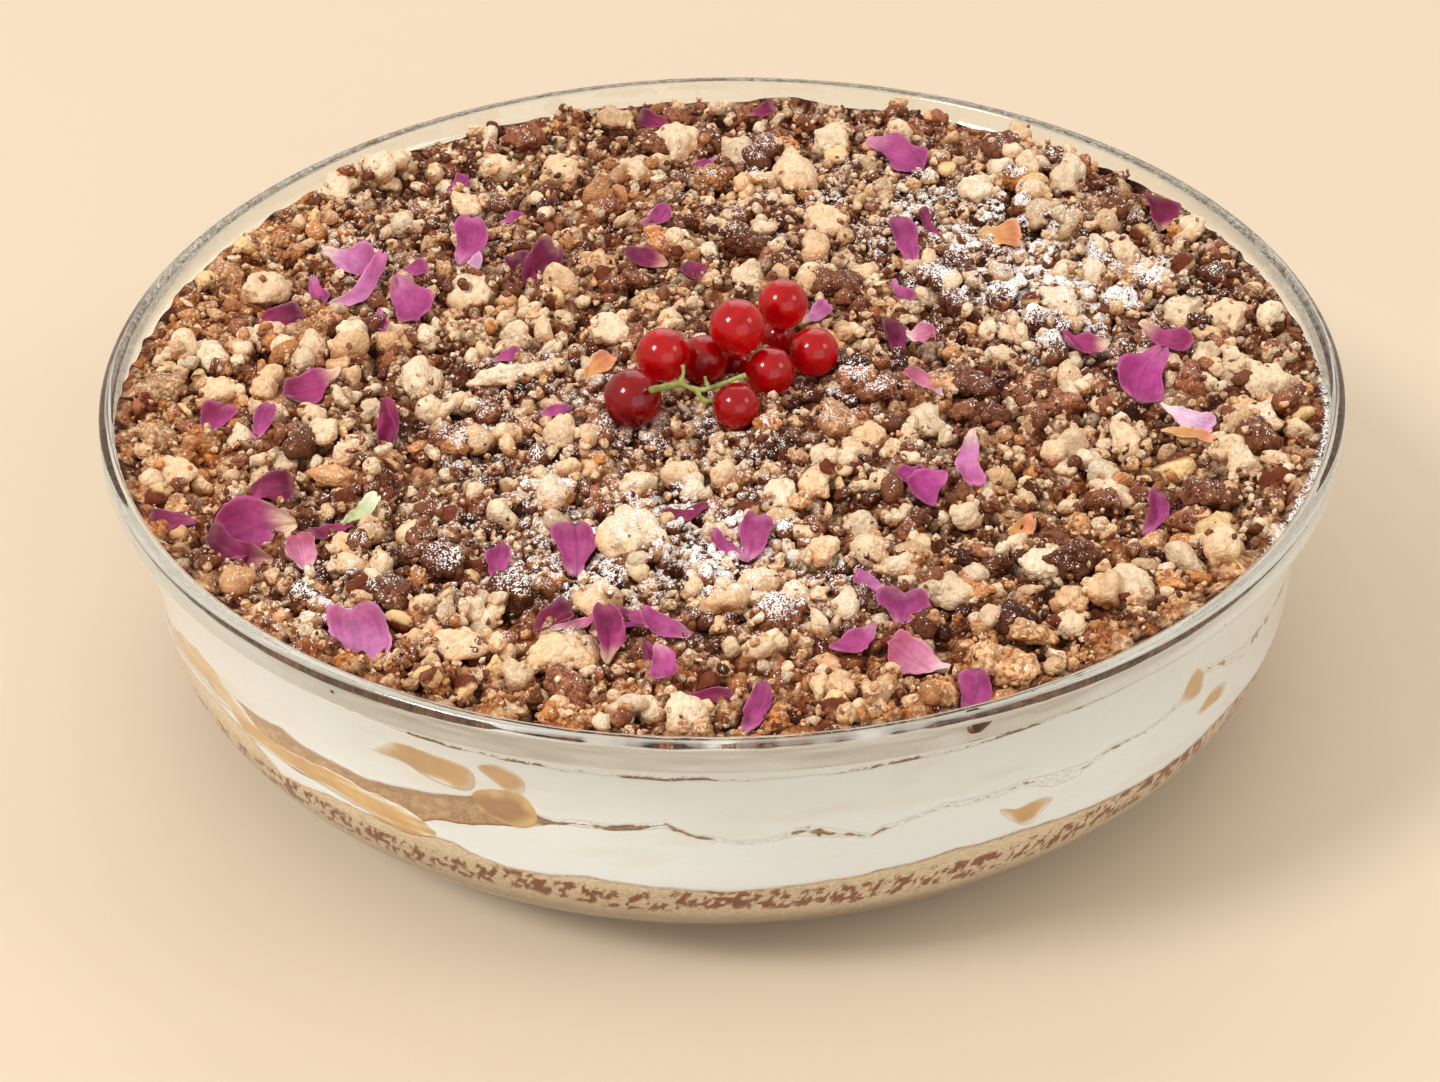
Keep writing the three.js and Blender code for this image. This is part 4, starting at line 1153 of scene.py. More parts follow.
@dataclass
class Petal:
    """One rose petal: its place, size, heading towards the tip, lean and colours."""

    x: float
    y: float
    length: float
    width: float
    heading: float
    lean: float
    bloom: Bloom
    fold: float = 0.0
    thickness: float = 0.26
    fullness: float = 1.38
    cup: float = 0.26
    curl: float = 0.09
    growth: float = 1.16
    stations: int = 26
    across: int = 17

    @classmethod
    def rows(cls, text: str) -> "list[Petal]":
        """Petals from rows that are split by semicolons.

        Args:
            text: x, y, length, width, heading, lean and bloom of each, and its fold if it has one.
        Returns:
            The petals.
        """
        petals = []
        for row in text.replace("\n", ";").split(";"):
            if row.strip():
                *numbers, bloom, fold = (row if row[-1].isdigit() else row + " 0").split()
                petals.append(cls(*map(float, numbers), Bloom[bloom.upper()], float(fold)))
        return petals

    def surface(self, seed: int) -> tuple[Array, Array, Array]:
        """Both faces about the petal's middle.

        The half width grows as along^0.55 and closes as (1 - along^6)^0.45, uneven from side to
        side. The face rises with the square of the way across (cup) and towards both ends
        (curl), with a wavy edge; one side turns over by the fold, and the whole twists.

        Args:
            seed: which waves.
        Returns:
            (stations, loop, 3) points, and along and across values of each.
        """
        rng = np.random.default_rng(seed)
        along = np.linspace(0.02, 0.99, self.stations)[:, None]
        across = np.linspace(-1, 1, self.across)[None, :]
        phase = rng.uniform(0, 2 * math.pi, 5)
        spans = ((-0.6, 0.6), (-0.3, 1.5), (-0.6, 0.6))
        bend, tip_curl, twist = (rng.uniform(*ends) for ends in spans)
        uneven = rng.uniform(0.85, 1.2, 2)
        half = self.width / 2 * self.fullness * along ** 0.55 * (1 - along ** 6) ** 0.45
        share = half / self.width * 2
        edge, way = np.abs(across), np.sign(across)
        side = half * across * np.where(across > 0, *uneven)
        side = side * (1 + 0.13 * np.sin(9 * along + phase[0] + 2 * way) * edge ** 3)
        side = side + bend * self.length * (along - 0.4) ** 2
        turned = np.clip(across - 0.1, 0, None)
        rise = (self.cup * self.width * edge ** 2.4 * share
                + self.curl * self.length * (2 * along - 1) ** 2
                + tip_curl * self.length * np.clip(along - 0.6, 0, None) ** 2
                + 0.09 * self.width * np.sin(11 * along + phase[1] + 3 * across) * edge ** 2
                + 0.06 * self.width * np.sin(4 * across + phase[2]) * np.sin(6 * along + phase[3])
                - 0.05 * self.width * np.exp(-(6 * (across - 0.3 * np.sin(phase[4]))) ** 2)
                + self.fold * self.width * turned ** 1.4 * share)
        side = side * (1 - 0.55 * self.fold * turned)
        notch = 0.1 * self.length * (1 - edge) ** 2 * along ** 8 * np.sin(phase[4])
        run = (along - 0.5) * self.length * self.growth - notch
        run = run - 0.08 * self.length * edge ** 2 * along * np.cos(phase[4])
        angle = 2 * twist * (along - 0.5)
        cos, sin = np.cos(angle), np.sin(angle)
        side, rise = side * cos - rise * sin, side * sin + rise * cos
        top, low = (np.stack(np.broadcast_arrays(run, side, rise + lift), -1)
                    for lift in (self.thickness / 2, -self.thickness / 2))
        crumple = 0.3 * flat_noise(top[..., 0], top[..., 1], 1.9, seed)
        crumple = crumple + 0.16 * flat_noise(top[..., 0], top[..., 1], 0.9, seed + 1)
        torn = 0.22 * edge ** 4 * flat_noise(*np.broadcast_arrays(3 * along, way), 0.12, seed + 2)
        push = np.stack([np.zeros_like(crumple), torn * way, crumple], -1)
        loop = np.concatenate([top + push, (low + push)[:, ::-1]], axis=1)
        spread = np.concatenate([across, across[:, ::-1]], axis=1) * np.ones_like(along)
        return loop, along * np.ones_like(spread), spread

    def body(self, seed: int) -> tuple[Array, list[Array], Array]:
        """Closed petal turned to its heading and lean, at x and y, with its tint.

        Args:
            seed: which waves.
        Returns:
            Vertices, faces and tint.
        """
        loop, along, spread = self.surface(seed)
        lean, heading = np.radians([[self.lean], [self.heading]])
        turn = turns_about(0, lean)[0] @ turns_about(2, heading)[0]
        loop = loop @ turn.T + (self.x, self.y, 0)
        base, middle, tip = (linear(colour) for colour in self.bloom.value)
        colour = mixed(base, middle, smooth_step(along, 0.02, 0.42))
        colour = mixed(colour, tip, smooth_step(along, 0.45, 1.0))
        veins = np.abs(np.sin(11 * spread * (1.2 - 0.4 * along)))
        patches = lattice_noise(loop, 2.6, seed) * 0.16
        colour = colour * (0.82 + 0.22 * veins + patches)[..., None]
        edge = smooth_step(np.maximum(np.abs(spread), along), 0.84, 1.0)
        light = edge * smooth_step(along, 0.2, 0.9)
        colour = mixed(colour * (1 + 0.5 * light)[..., None], Tone.PETAL_EDGE.light, 0.1 * light)
        body = ring_body(loop, loop[0].mean(axis=0), loop[-1].mean(axis=0))
        return *body, with_sugar(capped(held(colour)))


PETALS = Petal.rows("""
-76 48 11.6 6.7 -17 25 pale; -73 36 16 4 41 15 pale; -62.8 29 10.5 7.4 -64 28 mid
-88.3 25 8.5 4.3 21 20 dark 0.3; -51.5 51.5 9.7 6 72 25 mid; -37.2 42 9 6.4 56 25 dark 0.5
-78.8 -2 11.2 6.9 -146 25 based; -97.8 -12 7.6 5.9 89 20 based; -62.6 -18.3 10.5 5.3 -71 28 dark 0.6
-84.3 -35 7 5.3 10 28 dark 0.4; -86 -47.5 13.5 11 -166 46 based; -88 -55.5 11 8 172 38 dusky
-76.5 -57 6.9 5.2 101 22 pink; -63.9 -84 10.5 10.8 84 25 pale; -26.6 -59.5 8.7 6.7 90 25 mid
-41 -62.9 7.4 4.2 95 22 mid; 5.3 -57 8.1 5.5 78 26 mid; 31 -78.2 5 8.6 85 20 mid
23.5 -86.4 7.6 4.3 -130 20 mid; 33 -91.5 9.6 6.2 152 20 pink; 38 -40.5 7 5.8 -144 25 vivid
45.6 -33 11.5 5 -98 22 pale; 42 -102 7.9 4.8 65 22 mid; 78.7 -50 8 3.6 59 25 mid 0.4
81.6 -3.5 11 9 -121 30 vivid; 87.4 11 11 5.2 -33 22 based; 71.9 8 8.1 5.4 -171 22 based
88.5 -16.5 10.4 4.8 -34 22 white; 34.3 12 7.7 5.2 119 24 dark 0.4; 39.2 47 10.6 4.5 95 22 mid
38.2 89 12.6 7.5 -35 24 mid; 92.4 61 7.2 6.5 92 26 dusky 0.4; -14.9 45 8.4 5 166 20 dusky
-10.5 -82.5 8.4 4.2 160 20 mid; -20.5 -84.5 9.4 6 93 26 based 0.4; -10.9 -93 7.4 4.3 -79 20 mid
4.5 -106 9 4 60 20 mid
""")
LEAF = Petal(-67, -45, 7.4, 3.2, 40, 20, Bloom.GREEN)
SMALL_PETALS = Petal.rows("""
-82 36.5 7 3 -67 20 mid; -55.6 80 7.4 3.9 51 22 mid; -88 -15 8 3 83 20 mid
-6.8 -45.5 7.8 3.2 -155 20 dark; -3 88 6.8 3.6 -150 20 mid; -12.8 60 6.3 4.1 35 20 mid
39.8 -7.3 8 3 126 20 pink; -3 -100 8 3.2 5 20 dark; 58.2 54.4 8 6 -5 12 amber
-13 101 7.2 3.4 152 22 dark; 26 -68.8 6.3 3.4 155 15 pale; -50.9 44.8 8.3 3.3 45 20 white
-40 40.9 8.5 4.8 128 25 dark 0.4; -62.9 40.8 6 3.4 30 20 mid; -43.3 66 5.5 3 30 15 mid
-67 14.6 5 2.6 -80 20 mid; -42 6 5.5 2.6 20 10 mid; -100.7 -49.6 8 3.6 176 15 dark
-71.7 -49 7 2.6 -160 15 dark; 1 -59 7.7 2.5 143 20 mid; 35 -36.6 5 3.6 -140 20 vivid
54.3 -51.2 4.7 3.7 20 15 amber; 87.5 -24.2 8.6 2.6 -16 10 amber; 39.5 11.7 5.3 5.5 0 25 pink
36.2 30.6 5.9 2.7 -57 20 mid; 43.4 55.7 7.2 2.1 117 20 dark; 19.1 20.5 6 3.6 40 20 pale
-24.5 1.3 6.5 3.8 60 15 amber; -4.5 40 7.1 4.3 167 15 dark; 9.2 107.9 5.7 3.5 20 15 dusky
-32.2 -12.8 6 3 15 15 mid; -30.7 -80.3 7 4.1 41 20 dark 0.5; -26.7 -81.6 7.8 1.8 10 15 pink
-15.9 -78.3 6.8 3.5 162 20 mid; -13.1 -87.5 5 3 -60 20 dark
""")


@dataclass
class Petals:
    """Rose petals, the leaf, and the smallest petals joined as one piece."""

    finish: TintedFinish = TintedFinish(
        "rose_petal", roughness=0.55, grain=900, contrast=0.16, bump=0.25, bump_depth=0.0001,
        subsurface=0.15)
    first_seed: int = 100
    first_small_seed: int = 300
    resting_share: float = 80.0
    shaped: list[tuple[str, Array, list[Array], Array]] = field(default_factory=list)
    small: list[tuple[Array, list[Array], Array]] = field(default_factory=list)

    def shape(self) -> None:
        """Works out every petal that has a node, at the node's height."""
        nodes = [*(f"petal_{number + 1:02d}" for number in range(len(PETALS))), "leaf"]
        for number, (node, petal) in enumerate(zip(nodes, [*PETALS, LEAF])):
            vertices, faces, tint = petal.body(self.first_seed + number)
            low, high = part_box(node)
            lift = (low[2] + high[2]) / 2 / MM - (vertices[:, 2].min() + vertices[:, 2].max()) / 2
            self.shaped.append((node, vertices + (0, 0, lift), faces, tint))

    def settle_small(self, heap: "HeightMap") -> None:
        """Lays the smallest petals on the heap.

        Args:
            heap: the heights below them.
        """
        for number, petal in enumerate(SMALL_PETALS):
            vertices, faces, tint = petal.body(self.first_small_seed + number)
            below = heap.at(heap.z, vertices[:, 0], vertices[:, 1])
            lift = np.percentile(below - vertices[:, 2], self.resting_share)
            self.small.append((vertices + (0, 0, lift), faces, tint))

    def build(self) -> None:
        """Makes the pieces."""
        material = self.finish.build()
        for node, vertices, faces, tint in self.shaped:
            name, slot = ("leaf_pale", "leaf") if node == "leaf" else (f"rose_{node}", "petal")
            new_piece(name, (vertices, faces), material, (node,), tint)
        new_piece("rose_petals_small", joined([part[:2] for part in self.small]), material,
                  (), np.concatenate([part[2] for part in self.small]))


# ---------- crumble ----------

@dataclass
class HeapShape:
    """Bare surface of the crumble heap, below its loose pieces."""

    edge: float = 59.2
    rise: float = 2.2
    sink: float = 1.5
    reach: float = 114.0
    broad: float = 1.3
    narrow: float = 1.2
    bank: float = 1.7
    front_bank: float = 1.4
    side_bank: float = 1.5

    def edge_height(self, azimuth: Array) -> Array:
        """Height at which the heap meets the glass."""
        edge = WallPoints(azimuth, radius=EDGE_RADIUS)
        return (self.edge + self.bank + self.near_bank(azimuth)
                + 0.5 * edge.noise(14.0, 81) + 0.4 * edge.noise(3.0, 82))

    def near_bank(self, azimuth: Array) -> Array:
        """Further bank on the near half, highest at either side of the front.

        Args:
            azimuth: in degrees.
        Returns:
            Heights.
        """
        away = np.abs(turn_signed(azimuth))
        front = smooth_step(-away, -102, -70)
        return front * (self.front_bank + self.side_bank * smooth_step(away, 12, 42))

    def height(self, x: Array, y: Array) -> Array:
        """A shallow dome with lumps of two sizes, calmer at the glass and banked up against it.

        Args:
            x: places.
            y: places.
        Returns:
            Heights.
        """
        radius = np.hypot(x, y)
        dome = self.edge + self.rise * (1 - (radius / self.reach) ** 2) - self.sink
        lumps = self.broad * flat_noise(x, y, 15.0, 83) + self.narrow * flat_noise(x, y, 7.0, 84)
        near = self.near_bank(np.degrees(np.arctan2(x, -y)))
        bank = self.bank * smooth_step(radius, 98, 111) + near * smooth_step(radius, 107, 113.5)
        return dome + bank + lumps * (1 - 0.6 * smooth_step(radius, 106, 113))


@dataclass
class HeightMap:
    """Heights of what has settled so far, with a ceiling below what lies on top."""

    shape: HeapShape
    half: float = 119.0
    cell: float = 0.5

    def __post_init__(self) -> None:
        """Starts from the bare heap."""
        self.line = np.arange(-self.half, self.half + self.cell / 2, self.cell)
        self.z = self.shape.height(*np.meshgrid(self.line, self.line, indexing="ij"))
        self.colour = np.broadcast_to(Tone.CHOCOLATE.light, (*self.z.shape, 3)).copy()
        self.ceiling = np.full_like(self.z, np.inf)
        self.taken = np.zeros_like(self.z, bool)

    def index(self, value: Array) -> Array:
        """Map index of a coordinate."""
        return np.clip(np.round((value + self.half) / self.cell).astype(int), 0, len(self.line) - 1)

    def at(self, values: Array, x: Array, y: Array) -> Array:
        """Map values at places."""
        return values[self.index(x), self.index(y)]

    def between(self, values: Array, x: Array, y: Array) -> Array:
        """Map values at places, blended between the map's points.

        Args:
            values: one for each of the map's points.
            x: places.
            y: places.
        Returns:
            Their values.
        """
        i, j = (x + self.half) / self.cell, (y + self.half) / self.cell
        low_i, low_j = np.floor(i).astype(int), np.floor(j).astype(int)
        i, j = i - low_i, j - low_j
        near = values[low_i, low_j] * (1 - j) + values[low_i, low_j + 1] * j
        far = values[low_i + 1, low_j] * (1 - j) + values[low_i + 1, low_j + 1] * j
        return near * (1 - i) + far * i

    def raised(self, reach: int) -> Array:
        """How far each place lies above the mean of the square of cells around it.

        Args:
            reach: half the square's width in cells.
        Returns:
            Heights above the mean.
        """
        kernel = np.full(2 * reach + 1, 1 / (2 * reach + 1))
        mean = self.z
        for axis in (0, 1):
            mean = np.apply_along_axis(np.convolve, axis, mean, kernel, "same")
        return self.z - mean

    def window(self, x: float, y: float, wide: float,
               deep: float) -> tuple[tuple[slice, slice], Array, Array]:
        """Cells near a place.

        Args:
            x: place.
            y: place.
            wide: reach along x.
            deep: reach along y.
        Returns:
            The cells, and how far they lie from the place along x and y.
        """
        left, right = self.index(np.array([x - wide, x + wide]))
        near, far = self.index(np.array([y - deep, y + deep]))
        cells = (slice(left, right + 1), slice(near, far + 1))
        return cells, (self.line[cells[0]] - x)[:, None], (self.line[cells[1]] - y)[None, :]

    def bed(self, rng: np.random.Generator, places: Array, sizes: Array, colours: Array,
            lifts: tuple[float, float], blend: float) -> None:
        """Beds half sunken grains in the heap: the union of their rounded tops.

        Args:
            rng: random draws.
            places: (n, 2).
            sizes: (n,) half sizes.
            colours: (n, 3).
            lifts: lowest and highest middle of a grain, as shares of its size.
            blend: share of the grain's own colour, the rest is what lies below.
        """
        bare = self.z.copy()
        stretches = rng.uniform(0.7, 1.35, (len(sizes), 2))
        heights = rng.uniform(*lifts, len(sizes))
        for place, size, stretch, lift, colour in zip(places, sizes, stretches, heights, colours):
            wide, deep = size * stretch
            cells, dx, dy = self.window(*place, wide, deep)
            round_top = size * np.sqrt(np.clip(1 - (dx / wide) ** 2 - (dy / deep) ** 2, 0, 1))
            top = bare[cells].mean() + size * lift + round_top
            above = (round_top > 0) & (top > self.z[cells])
            self.z[cells] = np.where(above, top, self.z[cells])
            old = self.colour[cells][above]
            self.colour[cells][above] = old + (colour - old) * blend

    def cover(self, vertices: Array, margin: float) -> None:
        """Keeps the room below a piece free of what settles later.

        Args:
            vertices: the piece's points.
            margin: room kept below it.
        """
        i, j = self.index(vertices[:, 0]), self.index(vertices[:, 1])
        last = len(self.line) - 1
        for down in (-1, 0, 1):
            for right in (-1, 0, 1):
                place = (np.clip(i + down, 0, last), np.clip(j + right, 0, last))
                np.minimum.at(self.ceiling, place, vertices[:, 2] - margin)

    def settle(self, x: float, y: float, axes: Array, heading: float, sink: float,
               clear: float) -> float | None:
        """Drops an ellipsoid on the map.

        Args:
            x: place.
            y: place.
            axes: half sizes along, across and up.
            heading: turn about the vertical, in radians.
            sink: share of its height that goes into what lies below.
            clear: share of its reach that later pieces leave free.
        Returns:
            The height of its middle, or None where there is no room.
        """
        reach = max(axes[0], axes[1])
        cells, dx, dy = self.window(x, y, reach, reach)
        cos, sin = math.cos(heading), math.sin(heading)
        spread = ((dx * cos + dy * sin) / axes[0]) ** 2 + ((dy * cos - dx * sin) / axes[1]) ** 2
        inside = spread < 1
        if not inside.any():
            return None
        below = self.z[cells]
        middle = float(below[inside].mean()) + axes[2] * (1 - 2 * sink)
        top = middle + axes[2] * np.sqrt(np.clip(1 - spread, 0, 1))
        over = max(float((top - self.ceiling[cells])[inside].max()), 0.0)
        if over > 1.2 * axes[2]:
            return None
        self.z[cells] = np.where(inside, np.maximum(below, top - over), below)
        self.taken[cells] |= spread < clear ** 2
        return middle - over


def soft_union(reach: Array, sharpness: float) -> Array:
    """Largest of several reaches, rounded where they meet: log of the sum of exponentials."""
    return np.log(np.exp(sharpness * reach).sum(axis=1)) / sharpness


@dataclass
class Lumps:
    """Shapes of many bodies of one kind, as (bodies, directions) radii about their middles."""

    rng: np.random.Generator
    count: int
    directions: Array

    def ways(self, number: int) -> Array:
        """Random unit vectors, so many for each body."""
        return unit(self.rng.normal(size=(self.count, number, 3)))

    def facing(self, ways: Array) -> Array:
        """Length of each body's vectors along each direction."""
        return np.einsum("nkc,vc->nkv", ways, self.directions)

    def knobbly(self, knobs: int, spread: float) -> Array:
        """Union of balls seen from the middle: the farthest reach of any ball along each direction.

        A ball at c of size s reaches c.d + sqrt(s^2 - |c|^2 + (c.d)^2) along a direction d.

        Args:
            knobs: balls of each body.
            spread: how far out the balls sit.
        Returns:
            Radii.
        """
        centres = self.rng.normal(size=(self.count, knobs, 3))
        centres *= (spread * self.rng.uniform(0.5, 1, (self.count, knobs, 1))
                    / np.linalg.norm(centres, axis=2, keepdims=True))
        sizes = self.rng.uniform(0.3, 0.55, (self.count, knobs)) * (1 - 0.25 * spread)
        sizes = np.maximum(sizes, np.linalg.norm(centres, axis=2) * 0.9)
        dots = self.facing(centres)
        square = sizes[..., None] ** 2 - (centres ** 2).sum(axis=2)[..., None] + dots ** 2
        radii = soft_union(np.where(square > 0, dots, 0.3) + np.sqrt(np.clip(square, 0, None)), 26)
        return radii / radii.mean(axis=1, keepdims=True)

    def angular(self, planes: int) -> Array:
        """Broken lump: the nearest of several random planes along each direction.

        A plane at distance h with normal n is met at h / (n.d) along a direction d.

        Args:
            planes: planes of each body.
        Returns:
            Radii.
        """
        facing = self.facing(self.ways(planes))
        distance = self.rng.uniform(0.5, 1.05, (self.count, planes, 1))
        cuts = np.where(facing > 0.05, distance / np.clip(facing, 0.05, None), 9.0)
        radii = -soft_union(-np.minimum(cuts, 1.35), 22)
        return radii / radii.mean(axis=1, keepdims=True)

    def streusel(self, knobs: int) -> Array:
        """Crumbly nugget: half way between a knobbly body and a broken one."""
        return 0.45 * self.knobbly(knobs, 0.6) + 0.55 * self.angular(8)

    def grained(self, radii: Array, grains: int, widths: tuple[float, float],
                height: float = 0.85) -> Array:
        """Bodies covered with round grains: each adds a half ellipse over its own width.

        Args:
            radii: radii of the bare bodies.
            grains: grains of each body.
            widths: narrowest and widest half angle of a grain.
            height: a grain's height as a share of its width.
        Returns:
            Radii.
        """
        facing = self.facing(self.ways(grains))
        width = self.rng.uniform(*widths, (self.count, grains, 1))
        angle = np.arccos(np.clip(facing, -1, 1))
        bumps = np.sqrt(np.clip(1 - (angle / width) ** 2, 0, 1)) * width * height
        return radii * 0.9 + bumps.max(axis=1)

    def chopped(self) -> Array:
        """Smooth ball cut by three planes, with flat faces.

        Returns:
            Radii.
        """
        radii = self.knobbly(4, 0.2)
        for _ in range(3):
            facing = self.facing(self.ways(1))[:, 0]
            cut = self.rng.uniform(0.35, 0.75, (self.count, 1)) / np.clip(facing, 0.05, None)
            radii = np.where(facing > 0.05, np.minimum(radii, cut), radii)
        return radii


# Ends of the draws for headings, in radians.
HALF_TURN = 3.14
FULL_TURN = 6.28

# Where sugar lies thickest: place, reach and strength, on top of a thin dusting.
SUGAR_SPOTS = rows(
    "8 -66 15 0.75; -6 -60 20 0.4; 62 58 24 0.4; 58 44 20 0.4; 86 36 20 0.35; 58 18 16 0.4;"
    "-60 60 24 0.25; -66 -72 16 0.4; -22 -70 20 0.35; -32 -36 32 0.3; -8 -22 18 0.3; 26 -12 16 0.3;"
    "28 72 22 0.3; 10 72 20 0.3; 74 16 14 0.3; -30 -8 22 0.2")
THIN_SUGAR = 0.06


def sugar_zone(x: Array, y: Array) -> Array:
    """How thickly sugar lies, from 0 to 1: the sum of soft round spots, made cloudy by noise.

    Args:
        x: places.
        y: places.
    Returns:
        Thickness.
    """
    total = np.full(np.shape(x), THIN_SUGAR)
    for spot_x, spot_y, reach, strength in SUGAR_SPOTS:
        total = total + strength * np.exp(-((x - spot_x) ** 2 + (y - spot_y) ** 2) / reach ** 2)
    return np.clip(total * (1 + flat_noise(x, y, 8.0, 91)), 0, 1)


def golden_zone(x: Array, y: Array) -> Array:
    """Share of fine golden crumbs, which lie along the front and the left edge.

    Args:
        x: places.
        y: places.
    Returns:
        Shares from 0 to 1.
    """
    front = smooth_step(-y + 0.25 * np.abs(x), 84, 104)
    left = smooth_step(-x + 0.15 * y, 78, 100)
    return np.clip(np.maximum(front, left) + 0.3 * flat_noise(x, y, 12.0, 92), 0, 1)


class Kind(Enum):
    """Kinds of crumble piece, each between two tones."""

    PALE = (Tone.PALE, Tone.PALE_WARM)
    TAN = (Tone.TAN, Tone.PALE_WARM)
    GOLDEN = (Tone.GOLD, Tone.TAN)
    NUT = (Tone.NUT, Tone.NUT)
    DARK = (Tone.CHOCOLATE, Tone.GREY_BROWN)


# The largest pieces of the heap: kind, place, width and depth.
LARGE_ROWS = """
P -92 34 12 8;T -79 41 6 8;P -101 11 8 11;T -98 0 8 8;P -76 -19 6 9;P -72 13 8 8;P -58 -4 9 12
G -73 -31 9 6;T -102 -34 7 9;D -59 -71 9 6;T -22 107 8 6;P -33 82 9 9;P -53 70 6 9;P -9 95 10 13
P -2 48 5 8;P -50 33 9 12;P 6 88 9 14;P 17 79 9 11;P 25 96 8 8;P 22 59 9 11;P 60 82 6 9;P 6 38 7 7
P -42 0 12 5;P -22 15 8 8;P -31 -21 6 9;P -16 -37 7 7;P -16 -58 11 10;P 39 -18 7 9;D 48 -6 8 12
T 27 -24 8 8;P 17 -41 6 9;P 44 -49 6 7;G 2 -34 7 9;P -47 -87 9 7;P -29 -90 11 8;D -28 -99 8 9
G 17 -90 7 9;P 40 -73 9 7;P 64 88 7 9;P 74 74 7 11;P 67 61 8 11;P 83 45 7 7;P 68 25 7 11;P 93 24 7 9
P 101 20 7 10;P 105 -7 9 10;P 103 -19 7 8;P 97 -32 8 8;N 103 -43 6 8;P 76 -27 6 9;P 72 -42 8 7
D 89 -46 8 9;N 89 -57 8 10;N 84 -33 11 7;P 57 -67 7 8;T 61 -76 6 7;P 71 -73 9 13;D 51 -83 8 10
T -88 -2 6 6;T 30 36 6 6;P -67 -13 5 5;N -45 -99 5 7;N 67 71 8 7;D -9 108 5 5;T 18 -60 6 6
P 10 -45 7 8;P 13 -74 6 6;P 60 -83 7 6;T -20 -19 6 5;P -40 15 6 6;P 95 8 6 6;P 55 72 7 8
"""


@dataclass
class Batch:
    """Bodies of one kind that have found their places on the heap."""

    name: str
    heap: HeightMap
    finish: GrainFinish
    subdivisions: int
    seed: int
    tilt: float
    shape: Callable[[Lumps], Array]
    sugar: float = 1.0
    faceted: bool = False
    rough: float = 0.42
    farthest: float = 114.2
    places: list[tuple[float, ...]] = field(default_factory=list)
    kinds: list[Kind] = field(default_factory=list)

    def add(self, x: float, y: float, axes: Array, heading: float, sink: float, kind: Kind,
            clear: float = 0.0) -> None:
        """Settles one body, if there is room for it.

        Args:
            x: place.
            y: place.
            axes: half sizes.
            heading: turn about the vertical, in radians.
            sink: share that sinks in.
            kind: its kind.
            clear: share of its reach that later bodies leave free.
        """
        keep = min(1.0, (self.farthest - max(axes[0], axes[1])) / max(math.hypot(x, y), 1e-6))
        middle = self.heap.settle(x * keep, y * keep, axes, heading, sink, clear)
        if middle is not None:
            self.places.append((x * keep, y * keep, middle, *axes, heading))
            self.kinds.append(kind)

    def build(self) -> None:
        """Shapes all bodies at once, turns and roughens them, and joins them as one piece."""
        rng = np.random.default_rng(self.seed)
        directions, triangles = unit_ball(self.subdivisions)
        settled = np.array(self.places)
        count, middles = len(settled), settled[:, None, :3]
        radii = self.shape(Lumps(rng, count, directions))
        local = directions[None] * radii[..., None] * settled[:, None, 3:6]
        lean = rng.uniform(-self.tilt, self.tilt, count)
        turn = turns_about(2, settled[:, 6]) @ turns_about(0, lean)
        heading, pitch = rng.uniform(0, FULL_TURN, count), rng.uniform(0, HALF_TURN, count)
        facing = turns_about(2, heading) @ turns_about(0, pitch)
        spots = np.einsum("nij,nvj->nvi", turn, local)
        fine = lattice_noise(spots + middles, 1.6, self.seed + 5)
        fine = fine + 0.6 * lattice_noise(spots + middles, 0.8, self.seed + 6)
        reach = np.maximum(np.linalg.norm(spots, axis=2), 0.1)
        spots = spots * (1 + np.minimum(self.rough / reach, 0.27) * fine)[..., None]
        vertices = spots + middles
        up, skin = (np.einsum("nij,vj->nvi", way, directions)[..., 2] for way in (turn, facing))
        tint = self.tints(rng, vertices, up, skin)
        starts = np.arange(count) * len(directions)
        faces = (triangles[None] + starts[:, None, None]).reshape(-1, 3)
        piece = new_piece(self.name, (vertices.reshape(-1, 3), [faces]), self.finish.build(),
                          ("crumble_top",), tint.reshape(-1, 4))
        if self.faceted:
            piece.data.shade_flat()

    def tints(self, rng: np.random.Generator, vertices: Array, up: Array, skin: Array) -> Array:
        """Each body's tone, blotched, golden where it baked, golden and darker below as painted
        shade, under sugar on its upper side.

        Args:
            rng: random draws.
            vertices: (n, v, 3) places.
            up: (n, v) how far each faces upwards.
            skin: (n, v) a random direction's share, for nut skins.
        Returns:
            (n, v, 4) tint.
        """
        count = len(self.kinds)
        first, second = (np.array([kind.value[end].light for kind in self.kinds]) for end in (0, 1))
        base = mixed(first, second, rng.random(count))
        colour = base[:, None] * (1 + 0.14 * rng.normal(size=(count, 1, 1)).clip(-1.5, 1.5))
        blotch = lattice_noise(vertices, 2.8, self.seed)
        blotch = blotch + 0.6 * lattice_noise(vertices, 1.1, self.seed + 1)
        pale = np.array([kind in (Kind.PALE, Kind.TAN, Kind.NUT) for kind in self.kinds])[:, None]
        # Golden where baked: real browning by noise, plus painted shade on the sides and undersides
        # that face down.
        baked_and_shade = smooth_step(blotch - 0.9 * up, -0.1, 1.2) * pale
        colour = mixed(colour, Tone.GOLD.light, 0.75 * baked_and_shade)
        colour = colour * (1 + 0.1 * blotch)[..., None]
        nut = np.array([kind is Kind.NUT for kind in self.kinds])[:, None]
        colour = mixed(colour, Tone.NUT_SKIN.light, nut * smooth_step(skin, -0.1, 0.05))
        zone = sugar_zone(vertices[..., 0], vertices[..., 1])
        lying = smooth_step(up, 0.0, 0.8)
        sugar = self.sugar * lying * np.where(pale, 0.1 + 0.42 * zone, 0.18 + 0.75 * zone)
        # Painted shade: each body's downward-facing side is darkened and browned.
        return with_sugar(held(deepened(colour, 0.5 + 0.5 * smooth_step(up, -0.5, 0.5))), sugar)


